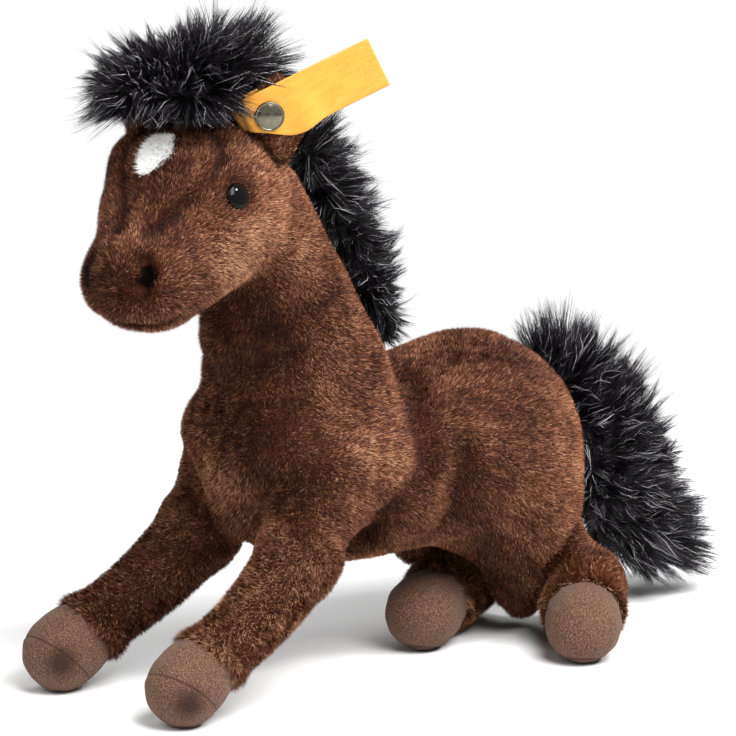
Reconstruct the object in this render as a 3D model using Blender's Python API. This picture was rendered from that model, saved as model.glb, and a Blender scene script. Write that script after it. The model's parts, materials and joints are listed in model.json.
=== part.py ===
"""A floppy plush foal that lies with its head up, its front legs stretched out ahead and its hind
legs drawn forward beside its belly. Every skin is an open shell with its own filling inside.

+X is the foal's left, -Y is ahead of it and +Z is up. The origin is the middle of the flat that
the rump sits on. Lengths are in metres.
"""

import math
from collections import namedtuple

import bmesh
import bpy
from mathutils import Matrix, Vector
from mathutils.bvhtree import BVHTree

# Fabric, and the room between pieces
GAP = 0.0003            # between pieces that touch
SKIN = 0.0018           # plush cloth with the foot of its pile
SWING_ROOM = 0.0010     # round the head of a leg or the root of the tail
SWING_SPARE = 1         # degrees that its room reaches past each end of its swing
FLATTENING = 0.0005     # how far the forms press into the floor
OVERRUN = 0.004         # how far a cut runs past what it cuts

# Torso, measured from the floor and from the seat
TORSO_LENGTH = 0.146
TORSO_WIDTH = 0.081
TORSO_HEIGHT = 0.1055
CHEST_REACH = 0.132

# Neck
NECK_HEIGHT = 0.168
NECK_REACH = 0.1205
NECK_WIDTH = 0.060
NECK_DEPTH = 0.064

# Head
HEAD_X = 0.0030
HEAD_Y = -0.1402
HEAD_Z = 0.165
HEAD_WIDTH = 0.060
HEAD_DEPTH = 0.060
FACE_LENGTH = 0.058
NAPE_LENGTH = 0.033
HEAD_YAW = math.radians(22)
HEAD_PITCH = math.radians(24)

# Legs: where each swings, and how far its hoof lies from there
SHOULDER_X = 0.025
SHOULDER_Y = -0.118
SHOULDER_Z = 0.048
LEFT_FRONT_HOOF_X = 0.024
LEFT_FRONT_HOOF_Y = -0.1655
RIGHT_FRONT_HOOF_X = -0.036
RIGHT_FRONT_HOOF_Y = -0.168
HOOF_Z = 0.0123
LEFT_HIP_X = 0.0215
LEFT_HIP_Y = 0.0110
LEFT_HIND_HOOF_X = 0.0499
LEFT_HIND_HOOF_Y = -0.0152
RIGHT_HIP_X = -0.0175
RIGHT_HIP_Y = -0.0095
RIGHT_HIND_HOOF_X = 0.0029
RIGHT_HIND_HOOF_Y = -0.0446
SHOULDER_RADIUS = 0.0165
FRONT_LEG_RADIUS = 0.0125
FRONT_CUFF_RADIUS = 0.0134
HIP_RADIUS = 0.0156
HIND_LEG_RADIUS = 0.0141
HIND_CUFF_RADIUS = 0.0138
HOOF_RADIUS = 0.0128
HOOF_LENGTH = 0.0245
FRONT_LEG_RISE = math.radians(25)
FRONT_LEG_DROP = math.radians(55)
HIND_LEG_RISE = math.radians(4)
HIND_LEG_DROP = math.radians(50)

# Long pile: mane, forelock and tail
MANE_WIDTH = 0.028
MANE_DEPTH = 0.027
MANE_DROP = 0.093
MANE_BACK = 0.046
MANE_X = 0.0
MANE_TOP_Y = -0.099
MANE_TOP_Z = 0.188
FORELOCK_X = 0.0
FORELOCK_Y = -0.144
FORELOCK_Z = 0.2055
FORELOCK_WIDTH = 0.060
FORELOCK_LENGTH = 0.074
FORELOCK_HEIGHT = 0.037
TAIL_ROOT_Y = 0.000
TAIL_ROOT_Z = 0.0945
TAIL_LENGTH = 0.082
TAIL_DROP = 0.0905
TAIL_WIDTH = 0.046
TAIL_DEPTH = 0.048
TAIL_LIFT = math.radians(40)

# Ears
EAR_BASE = 0.017
EAR_HEIGHT = 0.032
EAR_THICKNESS = 0.0036
EAR_BEARING = math.radians(102)
EAR_RISE = math.radians(33)
EAR_TURN = math.radians(35)
EAR_SWING = math.radians(10)

# Ribbon, button and washer on the left ear
RIBBON_WIDTH = 0.0163
RIBBON_THICKNESS = 0.0005
RIBBON_REACH = 0.0385
RIBBON_FOLD = 0.0030
RIBBON_FOLD_STEPS = 6
RIBBON_TURN_BACK = 0.0055
RIBBON_RISE = math.radians(25.5)
BUTTON_HEIGHT_ON_EAR = 0.0136
BUTTON_OFFSET_ON_EAR = -0.0040
BUTTON_RADIUS = 0.0048
BUTTON_DOME = 0.0018
RIVET_RADIUS = 0.0010
BUTTON_WASHER_RADIUS = 0.0035
BUTTON_WASHER_THICKNESS = 0.0007

# Eyes, their lock washers and the star
EYE_RADIUS = 0.0045
EYE_DOME = 0.0022
EYE_SHANK_RADIUS = 0.0011
EYE_SHANK_LENGTH = 0.0090
EYE_BEARING = math.radians(54)
EYE_RISE = math.radians(12.5)
EYE_WASHER_RADIUS = 0.0042
EYE_WASHER_THICKNESS = 0.0010
EYE_WASHER_ROOM = 0.0020
STAR_BEARING = math.radians(-9)
STAR_RISE = math.radians(38)
STAR_WIDTH = 0.0115
STAR_HEIGHT = 0.0165
STAR_PILE = 0.0016
STAR_SIDES = 14

# How finely the big forms are drawn: steps between rows, and sides
FINE = (2, 20)
COARSE = (1, 14)

Row = namedtuple("Row", "point wide high")

LEFT = Vector((1, 0, 0))
AHEAD = Vector((0, -1, 0))
BACK = Vector((0, 1, 0))
UP = Vector((0, 0, 1))


# Smooth forms made of rings

def blended(a, b, c, d, t):
    """The point at t between b and c, on the smooth curve that runs on through a and d."""
    return 0.5 * (2 * b + (c - a) * t + (2 * a - 5 * b + 4 * c - d) * t ** 2
                  + (3 * b - a - 3 * c + d) * t ** 3)


def row_beyond(end, inner):
    """The row past an end: mirrored where the form closes in a round end, else straight on."""
    if end.wide == 0:
        return Row(inner.point, -inner.wide, -inner.high)
    return Row(2 * end.point - inner.point, 2 * end.wide - inner.wide, 2 * end.high - inner.high)


def smooth_rows(rows, steps):
    """The rows of a form, read at several steps between each two given ones."""
    given = [row_beyond(rows[0], rows[1]), *rows, row_beyond(rows[-1], rows[-2])]
    smooth = []
    for a, b, c, d in zip(given, given[1:], given[2:], given[3:]):
        for step in range(steps):
            t = step / steps
            smooth.append(Row(*(blended(*values, t) for values in zip(a, b, c, d))))
    smooth.append(rows[-1])
    return smooth


def rings_of(rows, side, steps, sides, along=None):
    """Rings of points round a form's spine; an end row of no width gives one point."""
    smooth = smooth_rows(rows, steps)
    rings = []
    for index, row in enumerate(smooth):
        if row.wide <= 0:
            rings.append([row.point.copy()])
            continue
        before = smooth[max(index - 1, 0)].point
        after = smooth[min(index + 1, len(smooth) - 1)].point
        heading = along or (after - before).normalized()
        rise = side.cross(heading).normalized()
        turns = [math.tau * corner / sides for corner in range(sides)]
        rings.append([row.point + side * (row.wide * math.cos(turn)) + rise * (row.high * math.sin(turn))
                      for turn in turns])
    return rings


def middle(ring):
    """The mean of a ring's points."""
    return sum(ring, Vector()) / len(ring)


def outward(rings, index, corner):
    """The outward direction of a form at one point of one ring."""
    ring = rings[index]
    if len(ring) == 1:
        neighbour = rings[1] if index == 0 else rings[-2]
        return (ring[0] - middle(neighbour)).normalized()
    before = rings[max(index - 1, 0)]
    after = rings[min(index + 1, len(rings) - 1)]
    lengthwise = after[corner % len(after)] - before[corner % len(before)]
    crosswise = ring[(corner + 1) % len(ring)] - ring[corner - 1]
    normal = lengthwise.cross(crosswise).normalized()
    if normal.dot(ring[corner] - middle(ring)) < 0:
        normal = -normal
    return normal


def inset(rings, depth):
    """The same form with its surface moved in by a depth, or out by a negative one."""
    return [[point - outward(rings, index, corner) * depth for corner, point in enumerate(ring)]
            for index, ring in enumerate(rings)]


def mesh_of(rings, loop=False):
    """A closed mesh through the rings, closed at its ends, or joined end to end in a loop."""
    form = bmesh.new()
    corners = [[form.verts.new(point) for point in ring] for ring in rings]
    pairs = list(zip(corners, corners[1:]))
    if loop:
        pairs.append((corners[-1], corners[0]))
    for one, other in pairs:
        count = max(len(one), len(other))
        for corner in range(count):
            following = (corner + 1) % count
            face = [one[corner % len(one)], one[following % len(one)],
                    other[following % len(other)], other[corner % len(other)]]
            form.faces.new(list(dict.fromkeys(face)))
    if not loop:
        for end in (corners[0], corners[-1]):
            if len(end) > 1:
                form.faces.new(end)
    bmesh.ops.recalc_face_normals(form, faces=form.faces)
    bmesh.ops.triangulate(form, faces=form.faces, quad_method="FIXED")
    return form


def hull_of(points):
    """The closed mesh stretched round a cloud of points."""
    form = bmesh.new()
    for point in points:
        form.verts.new(point)
    result = bmesh.ops.convex_hull(form, input=form.verts)
    spare = {item for key in ("geom_interior", "geom_unused") for item in result[key]
             if isinstance(item, bmesh.types.BMVert)}
    bmesh.ops.delete(form, geom=list(spare), context="VERTS")
    bmesh.ops.recalc_face_normals(form, faces=form.faces)
    return form


def joined(forms):
    """Several closed meshes in one."""
    whole = bmesh.new()
    for form in forms:
        mesh = bpy.data.meshes.new("joined")
        form.to_mesh(mesh)
        whole.from_mesh(mesh)
        bpy.data.meshes.remove(mesh)
        form.free()
    return whole


def turned(points, pivot, axis, angle):
    """Points turned about an axis through a pivot."""
    turn = Matrix.Rotation(angle, 3, axis)
    return [pivot + turn @ (point - pivot) for point in points]


def swept(points, pivot, axis, least, most, count, still=()):
    """The hull of what points pass as they swing between two limits, and of points that stay."""
    cloud = list(still)
    for step in range(count + 1):
        cloud += turned(points, pivot, axis, least + (most - least) * step / count)
    return hull_of(cloud)


def rod(centre, axis, radius, below, above, sides=16):
    """A round rod along an axis, from a depth below its centre to a height above it."""
    side = axis.orthogonal().normalized()
    rows = [Row(centre - axis * below, radius, radius), Row(centre + axis * above, radius, radius)]
    return mesh_of(rings_of(rows, side, 1, sides, along=axis))


# Objects, materials and cuts

def plain_material(name, colour, roughness, metallic=0.0):
    """A material with one colour, set on its Principled shader."""
    material = bpy.data.materials.new(name)
    material.use_nodes = True
    shader = material.node_tree.nodes["Principled BSDF"]
    shader.inputs["Base Color"].default_value = (*colour, 1)
    shader.inputs["Roughness"].default_value = roughness
    shader.inputs["Metallic"].default_value = metallic
    return material


def added(name, form, material=None):
    """A new object that holds the form."""
    mesh = bpy.data.meshes.new(name)
    form.to_mesh(mesh)
    form.free()
    mesh.shade_smooth()
    thing = bpy.data.objects.new(name, mesh)
    bpy.context.scene.collection.objects.link(thing)
    if material:
        mesh.materials.append(material)
    return thing


def cutter(name, form):
    """A hidden object that only cuts others."""
    thing = added(name, form)
    thing.hide_render = True
    thing.display_type = "WIRE"
    return thing


def cut(thing, *tools, operation="DIFFERENCE"):
    """Cuts each tool out of a thing, or keeps only what they share."""
    for tool in tools:
        modifier = thing.modifiers.new(tool.name, "BOOLEAN")
        modifier.operation = operation
        modifier.solver = "EXACT"
        modifier.object = tool
    return thing


def put_origin(thing, point):
    """Moves an object's origin to a point, with its shape left where it is."""
    thing.data.transform(Matrix.Translation(-point))
    thing.location = point


# The body: torso, neck and head

TORSO_SHARES = (  # along, top, bottom, width
    (0.000, 0.760, 0.760, 0.00),
    (0.027, 0.890, 0.600, 0.50),
    (0.108, 0.976, 0.445, 0.80),
    (0.243, 1.000, 0.360, 0.91),
    (0.405, 0.980, 0.340, 0.91),
    (0.568, 0.957, 0.345, 0.925),
    (0.682, 0.985, 0.294, 0.975),
    (0.757, 1.000, 0.150, 1.00),
    (0.824, 0.985, 0.022, 0.99),
    (0.904, 0.930, -0.010, 0.90),
    (0.950, 0.865, 0.045, 0.78),
    (0.982, 0.760, 0.230, 0.51),
    (1.000, 0.530, 0.530, 0.00),
)

NECK_SHARES = (  # ahead, height, depth, width
    (0.75, 0.45, 1.05, 1.06),
    (0.78, 0.55, 1.00, 1.00),
    (0.83, 0.667, 0.91, 0.90),
    (0.88, 0.774, 0.81, 0.85),
    (0.94, 0.893, 0.67, 0.77),
    (1.00, 1.00, 0.56, 0.70),
)

FACE_SHARES = (  # along the face, lift, width, depth
    (0.24, 0.02, 0.96, 0.90),
    (0.46, -0.01, 0.80, 0.76),
    (0.65, -0.03, 0.66, 0.65),
    (0.83, -0.02, 0.62, 0.57),
    (0.95, 0.00, 0.45, 0.40),
    (1.00, 0.00, 0.00, 0.00),
)

NAPE_SHARES = (  # along the nape, lift, width, depth
    (1.00, 0.0, 0.00, 0.00),
    (0.82, 0.0, 0.57, 0.60),
    (0.42, 0.0, 0.88, 0.90),
    (0.00, 0.0, 1.00, 1.00),
)


def torso_rings(steps, sides):
    rows = []
    for along, top, bottom, width in TORSO_SHARES:
        y = along * TORSO_LENGTH - CHEST_REACH
        z = (top + bottom) / 2 * TORSO_HEIGHT
        high = (top - bottom) / 2 * TORSO_HEIGHT
        rows.append(Row(Vector((0, y, z)), width * TORSO_WIDTH / 2, high))
    return rings_of(rows, LEFT, steps, sides, along=BACK)


def neck_rings(steps, sides):
    rows = [Row(Vector((0, -ahead * NECK_REACH, height * NECK_HEIGHT)),
                width * NECK_WIDTH / 2, depth * NECK_DEPTH / 2)
            for ahead, height, depth, width in NECK_SHARES]
    return rings_of(rows, LEFT, steps, sides)


def head_frame():
    """The head's centre, the way it faces, its left and its crown."""
    facing = Matrix.Rotation(HEAD_YAW, 3, UP) @ Matrix.Rotation(HEAD_PITCH, 3, LEFT) @ AHEAD
    left = Matrix.Rotation(HEAD_YAW, 3, UP) @ LEFT
    crown = facing.cross(left)
    return Vector((HEAD_X, HEAD_Y, HEAD_Z)), facing, left, crown


def head_rings(steps, sides):
    centre, facing, left, crown = head_frame()
    rows = []
    for shares, reach in ((NAPE_SHARES, -NAPE_LENGTH), (FACE_SHARES, FACE_LENGTH)):
        for along, lift, width, depth in shares:
            point = centre + facing * (along * reach) + crown * (lift * HEAD_DEPTH)
            rows.append(Row(point, width * HEAD_WIDTH / 2, depth * HEAD_DEPTH / 2))
    return rings_of(rows, left, steps, sides, along=facing)


def on_head(bearing, rise):
    """The point of the head's surface that lies at a bearing from straight ahead, and a rise."""
    centre, _, left, _ = head_frame()
    ahead = left.cross(UP)
    level = ahead * math.cos(bearing) + left * math.sin(bearing)
    direction = level * math.cos(rise) + UP * math.sin(rise)
    tree = BVHTree.FromBMesh(mesh_of(head_rings(*FINE)))
    point, normal, _, _ = tree.ray_cast(centre, direction)
    return point, normal


# Legs

Leg = namedtuple("Leg", "name pivot hoof head shaft cuff rise drop")

LEG_SIDES = 12
LEG_HEAD_TURNS = (36, 66, 96, 120)

LEG_SHARES = (  # along the shaft from head to cuff, and radius
    (0.45, 1.03),
    (0.75, 1.00),
)


def legs():
    """The four legs, each with its pivot, the middle of its hoof, its radii and its swing."""
    hip_z = HIP_RADIUS - FLATTENING
    front = (SHOULDER_RADIUS, FRONT_LEG_RADIUS, FRONT_CUFF_RADIUS, FRONT_LEG_RISE, FRONT_LEG_DROP)
    hind = (HIP_RADIUS, HIND_LEG_RADIUS, HIND_CUFF_RADIUS, HIND_LEG_RISE, HIND_LEG_DROP)
    places = (
        ("front_left", (SHOULDER_X, SHOULDER_Y, SHOULDER_Z), (LEFT_FRONT_HOOF_X, LEFT_FRONT_HOOF_Y)),
        ("front_right", (-SHOULDER_X, SHOULDER_Y, SHOULDER_Z), (RIGHT_FRONT_HOOF_X, RIGHT_FRONT_HOOF_Y)),
        ("hind_left", (LEFT_HIP_X, LEFT_HIP_Y, hip_z), (LEFT_HIND_HOOF_X, LEFT_HIND_HOOF_Y)),
        ("hind_right", (RIGHT_HIP_X, RIGHT_HIP_Y, hip_z), (RIGHT_HIND_HOOF_X, RIGHT_HIND_HOOF_Y)),
    )
    return [Leg(name, Vector(pivot), Vector((*hoof, HOOF_Z)), *(front if name.startswith("front") else hind))
            for name, pivot, hoof in places]


def leg_axes(leg):
    """The way a leg points, and the level axis that it swings about (positive lowers the hoof)."""
    heading = (leg.hoof - leg.pivot).normalized()
    axis = Vector((-heading.y, heading.x, 0)).normalized()
    return heading, axis


def seam_distance(leg):
    """How far from its pivot a leg ends and its hoof begins."""
    return (leg.hoof - leg.pivot).length - HOOF_LENGTH / 2


def leg_rings(leg):
    """A leg from its round head to its cuff."""
    heading, axis = leg_axes(leg)
    seam = seam_distance(leg)
    rows = [Row(leg.pivot - heading * leg.head, 0, 0)]
    for turn in LEG_HEAD_TURNS:
        angle = math.radians(turn)
        radius = leg.head * math.sin(angle)
        rows.append(Row(leg.pivot - heading * (leg.head * math.cos(angle)), radius, radius))
    for along, share in LEG_SHARES:
        reach = leg.head + along * (seam - leg.head)
        rows.append(Row(leg.pivot + heading * reach, share * leg.shaft, share * leg.shaft))
    rows.append(Row(leg.pivot + heading * seam, leg.cuff, leg.cuff))
    return rings_of(rows, axis, 1, LEG_SIDES, along=heading)


HOOF_SHARES = (  # along the hoof from its seam, and radius
    (0.00, 0.90),
    (0.25, 0.99),
    (0.52, 1.00),
    (0.75, 0.87),
    (0.93, 0.52),
    (1.00, 0.00),
)


def hoof_rings(leg):
    """A hoof from its seam to its rounded toe."""
    heading, axis = leg_axes(leg)
    seam = leg.pivot + heading * (seam_distance(leg) + GAP)
    rows = [Row(seam + heading * (along * HOOF_LENGTH), share * HOOF_RADIUS, share * HOOF_RADIUS)
            for along, share in HOOF_SHARES]
    return rings_of(rows, axis, 1, LEG_SIDES, along=heading)


def pot(rings, wall):
    """An open shell: from the round end along the rings to the open rim, and back inside them."""
    shell = inset(rings, wall)
    if len(rings[0]) == 1:
        return mesh_of(rings + shell[::-1])
    return mesh_of(rings[::-1] + shell)


def leg_sweep(leg, room):
    """The room that a leg's plush part needs in the torso as it swings."""
    _, axis = leg_axes(leg)
    rings = inset(leg_rings(leg), -room)
    ball = [point for ring in rings[:len(LEG_HEAD_TURNS) + 1] for point in ring]
    return swept(rings[-1], leg.pivot, axis, -leg.rise - SWING_SPARE, leg.drop + SWING_SPARE, 4, ball)


# Tail

TAIL_SHARES = (  # back, down, width, depth
    (-0.06, -0.02, 0.00, 0.00),
    (-0.01, 0.01, 0.30, 0.28),
    (0.18, 0.09, 0.64, 0.74),
    (0.39, 0.28, 0.88, 0.98),
    (0.54, 0.54, 1.00, 1.06),
    (0.70, 0.76, 0.90, 0.84),
    (0.90, 0.88, 0.55, 0.45),
    (1.00, 0.91, 0.00, 0.00),
)


TAIL_ROOT_RINGS = 5     # how many of them shape the rump's socket


def tail_root():
    return Vector((0, TAIL_ROOT_Y, TAIL_ROOT_Z))


def tail_rings():
    root = tail_root()
    rows = [Row(root + BACK * (back * TAIL_LENGTH) - UP * (down * TAIL_DROP),
                width * TAIL_WIDTH / 2, depth * TAIL_DEPTH / 2)
            for back, down, width, depth in TAIL_SHARES]
    return rings_of(rows, LEFT, 1, 14)


def tail_sweep(room):
    """The room that the tail's root needs in the rump."""
    points = [point for ring in inset(tail_rings(), -room)[:TAIL_ROOT_RINGS] for point in ring]
    return swept(points, tail_root(), LEFT, 0, TAIL_LIFT + SWING_SPARE, 4)


# Mane and forelock

MANE_SHARES = (  # back, down, width, depth
    (0.00, 0.00, 0.00, 0.00),
    (0.04, 0.06, 0.62, 0.60),
    (0.17, 0.18, 0.95, 0.96),
    (0.43, 0.42, 1.00, 1.00),
    (0.70, 0.67, 0.95, 0.90),
    (0.86, 0.90, 0.72, 0.50),
    (0.90, 1.00, 0.00, 0.00),
)

BALL_TURNS = (0, 24, 48, 72, 96, 120, 148, 180)


def mane_rings():
    top = Vector((MANE_X, MANE_TOP_Y, MANE_TOP_Z))
    rows = [Row(top + BACK * (back * MANE_BACK) - UP * (down * MANE_DROP),
                width * MANE_WIDTH / 2, depth * MANE_DEPTH / 2)
            for back, down, width, depth in MANE_SHARES]
    return rings_of(rows, LEFT, 2, 12)


def forelock_rings():
    centre = Vector((FORELOCK_X, FORELOCK_Y, FORELOCK_Z))
    rows = []
    for turn in BALL_TURNS:
        angle = math.radians(turn)
        share = 0 if turn in (BALL_TURNS[0], BALL_TURNS[-1]) else math.sin(angle)
        rows.append(Row(centre + AHEAD * (math.cos(angle) * FORELOCK_LENGTH / 2),
                        share * FORELOCK_WIDTH / 2, share * FORELOCK_HEIGHT / 2))
    return rings_of(rows, LEFT, 1, 16, along=BACK)


# Ears, seen from the way that each opens

Ear = namedtuple("Ear", "root level opening")

BUTTON_DOME_SHARES = ((1.0, 0.0), (0.86, 0.50), (0.50, 0.84), (0.12, 1.0), (0.0, 0.97))
EYE_DOME_SHARES = ((1.0, 0.0), (0.88, 0.45), (0.55, 0.82), (0.12, 1.0), (0.0, 0.96))

EAR_SHARES = (  # height, half width and thickness
    (0.00, 1.00, 1.00),
    (0.25, 1.16, 1.05),
    (0.55, 1.02, 1.00),
    (0.82, 0.60, 0.80),
    (1.00, 0.00, 0.00),
)


def ear_frame(side):
    """Where an ear is sewn on, the level line across it, and the way that it opens."""
    _, _, left, _ = head_frame()
    point, normal = on_head(side * EAR_BEARING, EAR_RISE)
    ahead = left.cross(UP)
    opening = ahead * math.cos(EAR_TURN) + left * (side * math.sin(EAR_TURN))
    return Ear(point + normal * (EAR_THICKNESS / 2), UP.cross(opening), opening)


def ear_rings(ear):
    """An ear from its sewn foot to its tip."""
    rows = [Row(ear.root - UP * EAR_THICKNESS, 0, 0)]
    rows += [Row(ear.root + UP * (height * EAR_HEIGHT), width * EAR_BASE / 2, thickness * EAR_THICKNESS / 2)
             for height, width, thickness in EAR_SHARES]
    return rings_of(rows, ear.level, 2, 12, along=UP)


def block(corner, directions, reaches):
    """A box from one corner, along three directions."""
    points = [corner]
    for direction, reach in zip(directions, reaches):
        points += [point + direction * reach for point in points]
    return hull_of(points)


def floor_block(height):
    """Everything that lies below a height."""
    reach = 2 * (TORSO_LENGTH + TAIL_LENGTH)
    corner = Vector((-reach, -reach, -OVERRUN))
    return block(corner, (LEFT, BACK, UP), (2 * reach, 2 * reach, OVERRUN + height))


def beyond(point, normal):
    """Everything on one side of a plane, as far as an ear reaches."""
    side = normal.orthogonal().normalized()
    other = normal.cross(side)
    reach = 2 * EAR_HEIGHT
    corner = point - side * reach - other * reach
    return block(corner, (side, other, normal), (2 * reach, 2 * reach, reach))


def turned_form(centre, axis, outline, sides=16, loop=False):
    """A form turned about an axis from an outline of heights along it and radii."""
    side = axis.orthogonal().normalized()
    other = axis.cross(side)
    rings = []
    for height, radius in outline:
        level = centre + axis * height
        if radius == 0:
            rings.append([level])
            continue
        turns = [math.tau * corner / sides for corner in range(sides)]
        rings.append([level + side * (radius * math.cos(turn)) + other * (radius * math.sin(turn))
                      for turn in turns])
    return mesh_of(rings, loop)


# The ribbon, its button and its washer

def ribbon_level():
    """How far the middle of the ribbon lies from the middle of the ear's thickness."""
    return EAR_THICKNESS / 2 + GAP + RIBBON_THICKNESS


def button_point(ear):
    return ear.root + ear.level * BUTTON_OFFSET_ON_EAR + UP * BUTTON_HEIGHT_ON_EAR


def ribbon_path(ear):
    """Points down the ribbon's middle with the way each faces: flag, fold and turned-back end."""
    heading = ear.level * math.cos(RIBBON_RISE) + UP * math.sin(RIBBON_RISE)
    middle_point = button_point(ear)
    fold = middle_point - heading * RIBBON_FOLD
    depth = ribbon_level()
    path = [(middle_point + heading * RIBBON_REACH + ear.opening * depth, ear.opening)]
    for step in range(RIBBON_FOLD_STEPS + 1):
        turn = math.pi * step / RIBBON_FOLD_STEPS
        facing = ear.opening * math.cos(turn) - heading * math.sin(turn)
        path.append((fold + facing * depth, facing))
    path.append((middle_point + heading * RIBBON_TURN_BACK - ear.opening * depth, -ear.opening))
    return path, ear.opening.cross(heading)


def ribbon_form(ear):
    path, across = ribbon_path(ear)
    rings = []
    for point, facing in path:
        rings.append([point + across * (x * RIBBON_WIDTH / 2) + facing * (z * RIBBON_THICKNESS / 2)
                      for x, z in ((1, 1), (-1, 1), (-1, -1), (1, -1))])
    return mesh_of(rings)


def ribbon_fold(ear):
    """What the ribbon's fold takes off the ear's front edge, which it pinches."""
    heading = ear.level * math.cos(RIBBON_RISE) + UP * math.sin(RIBBON_RISE)
    across = ear.opening.cross(heading)
    width = RIBBON_WIDTH + 2 * GAP
    depth = 2 * ribbon_level()
    corner = button_point(ear) - heading * (RIBBON_FOLD + GAP) - across * (width / 2) - ear.opening * depth
    return block(corner, (-heading, across, ear.opening), (EAR_BASE, width, 2 * depth))


def ribbon_cloud(ear):
    """Points round the ribbon and its button, with the room that they need."""
    path, across = ribbon_path(ear)
    side_room = RIBBON_WIDTH / 2 + SWING_ROOM
    face_room = RIBBON_THICKNESS + GAP + BUTTON_DOME + SWING_ROOM
    return [point + across * (x * side_room) + facing * face_room for point, facing in path for x in (-1, 1)]


def build_ribbon(ear, ribbon_cloth, steel):
    """The ribbon, the button with its rivet, and the washer behind; gives the ribbon and the hole."""
    middle_point = button_point(ear)
    face = ribbon_level() + RIBBON_THICKNESS / 2 + GAP
    outline = [(face + rise * BUTTON_DOME, share * BUTTON_RADIUS) for rise, share in BUTTON_DOME_SHARES]
    tail_end = face + BUTTON_WASHER_THICKNESS + GAP
    outline += [(face, RIVET_RADIUS), (-tail_end, RIVET_RADIUS)]
    added("ear_button", turned_form(middle_point, ear.opening, outline), steel)
    hole = RIVET_RADIUS + GAP
    washer = [(-face, hole), (-face, BUTTON_WASHER_RADIUS),
              (-face - BUTTON_WASHER_THICKNESS, BUTTON_WASHER_RADIUS),
              (-face - BUTTON_WASHER_THICKNESS, hole)]
    added("ear_button_washer", turned_form(middle_point, ear.opening, washer, loop=True), steel)
    rivet_hole = cutter("rivet_hole", rod(middle_point, ear.opening, hole, tail_end, tail_end))
    ribbon = cut(added("ear_ribbon", ribbon_form(ear), ribbon_cloth), rivet_hole)
    return ribbon, rivet_hole


# Building the objects

def build_body(torso, neck, head, plush, fibre):
    """Torso, neck and head: each an open skin with its filling."""
    coarse_torso = torso_rings(*COARSE)
    coarse_neck = neck_rings(*COARSE)
    coarse_head = head_rings(*COARSE)
    sockets = {}
    for name, room in (("skin", SWING_ROOM), ("hollow", SWING_ROOM + SKIN),
                       ("filling", SWING_ROOM + SKIN + GAP)):
        forms = [leg_sweep(leg, room) for leg in legs()]
        forms.append(tail_sweep(room))
        sockets[name] = cutter("sockets_in_" + name, joined(forms))

    torso_hollow = cutter("torso_hollow", mesh_of(inset(coarse_torso, SKIN)))
    cut(torso_hollow, sockets["hollow"], cutter("floor_in_hollow", floor_block(SKIN)))
    neck_bore = cutter("neck_bore", mesh_of(inset(coarse_neck, SKIN)))
    torso_skin = added("torso_skin", mesh_of(torso), plush)
    cut(torso_skin, torso_hollow, sockets["skin"], neck_bore, cutter("floor_under_torso", floor_block(0)))
    torso_filling = added("torso_filling", mesh_of(inset(coarse_torso, SKIN + GAP)), fibre)
    cut(torso_filling, sockets["filling"], cutter("floor_in_filling", floor_block(SKIN + GAP)))

    torso_inside = cutter("torso_inside", mesh_of(inset(coarse_torso, SKIN)))
    head_inside = cutter("head_inside", mesh_of(inset(coarse_head, SKIN)))
    neck_skin = added("neck_skin", mesh_of(neck), plush)
    cut(neck_skin, neck_bore, bpy.data.objects["torso_block"], bpy.data.objects["head_block"])
    neck_filling = added("neck_filling", mesh_of(inset(coarse_neck, SKIN + GAP)), fibre)
    cut(neck_filling, torso_inside, head_inside)

    head_skin = added("head_skin", mesh_of(head), plush)
    cut(head_skin, head_inside, neck_bore)
    head_filling = added("head_filling", mesh_of(inset(coarse_head, SKIN + GAP)), fibre)
    return head_skin, head_filling


def build_legs(plush, velour, fibre):
    """Each leg is a skin, a hoof and a filling, with its origin where it swings."""
    for leg in legs():
        outer = leg_rings(leg)
        hoof = hoof_rings(leg)
        floor = cutter("floor_under_" + leg.name, floor_block(0))
        skin = added(leg.name + "_leg_skin", pot(outer, SKIN), plush)
        cup = added(leg.name + "_hoof", pot(hoof, SKIN), velour)
        for piece in (skin, cup):
            cut(piece, floor)
        filling_rings = inset(outer, SKIN + GAP)[:-1] + inset(hoof, SKIN + GAP)
        filling = added(leg.name + "_leg_filling", mesh_of(filling_rings), fibre)
        for piece in (skin, cup, filling):
            put_origin(piece, leg.pivot)


def build_tail(torso, black):
    """The tail, whose root sits in a socket of the rump."""
    socket = cutter("tail_socket", tail_sweep(SWING_ROOM))
    rump = cut(cutter("rump_block", mesh_of(inset(torso, -GAP))), socket)
    tail = cut(added("tail", mesh_of(tail_rings()), black), rump)
    put_origin(tail, tail_root())


def build_mane_and_forelock(black):
    """The long pile on the neck and on the crown, seated on what carries it."""
    forelock = added("forelock", mesh_of(forelock_rings()), black)
    cut(forelock, bpy.data.objects["head_block"])
    mane = added("mane", mesh_of(mane_rings()), black)
    forelock_block = cutter("forelock_block", mesh_of(inset(forelock_rings(), -GAP)))
    blocks = [bpy.data.objects[name] for name in ("torso_block", "neck_block", "head_block")]
    cut(mane, *blocks, forelock_block)
    return forelock


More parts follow.
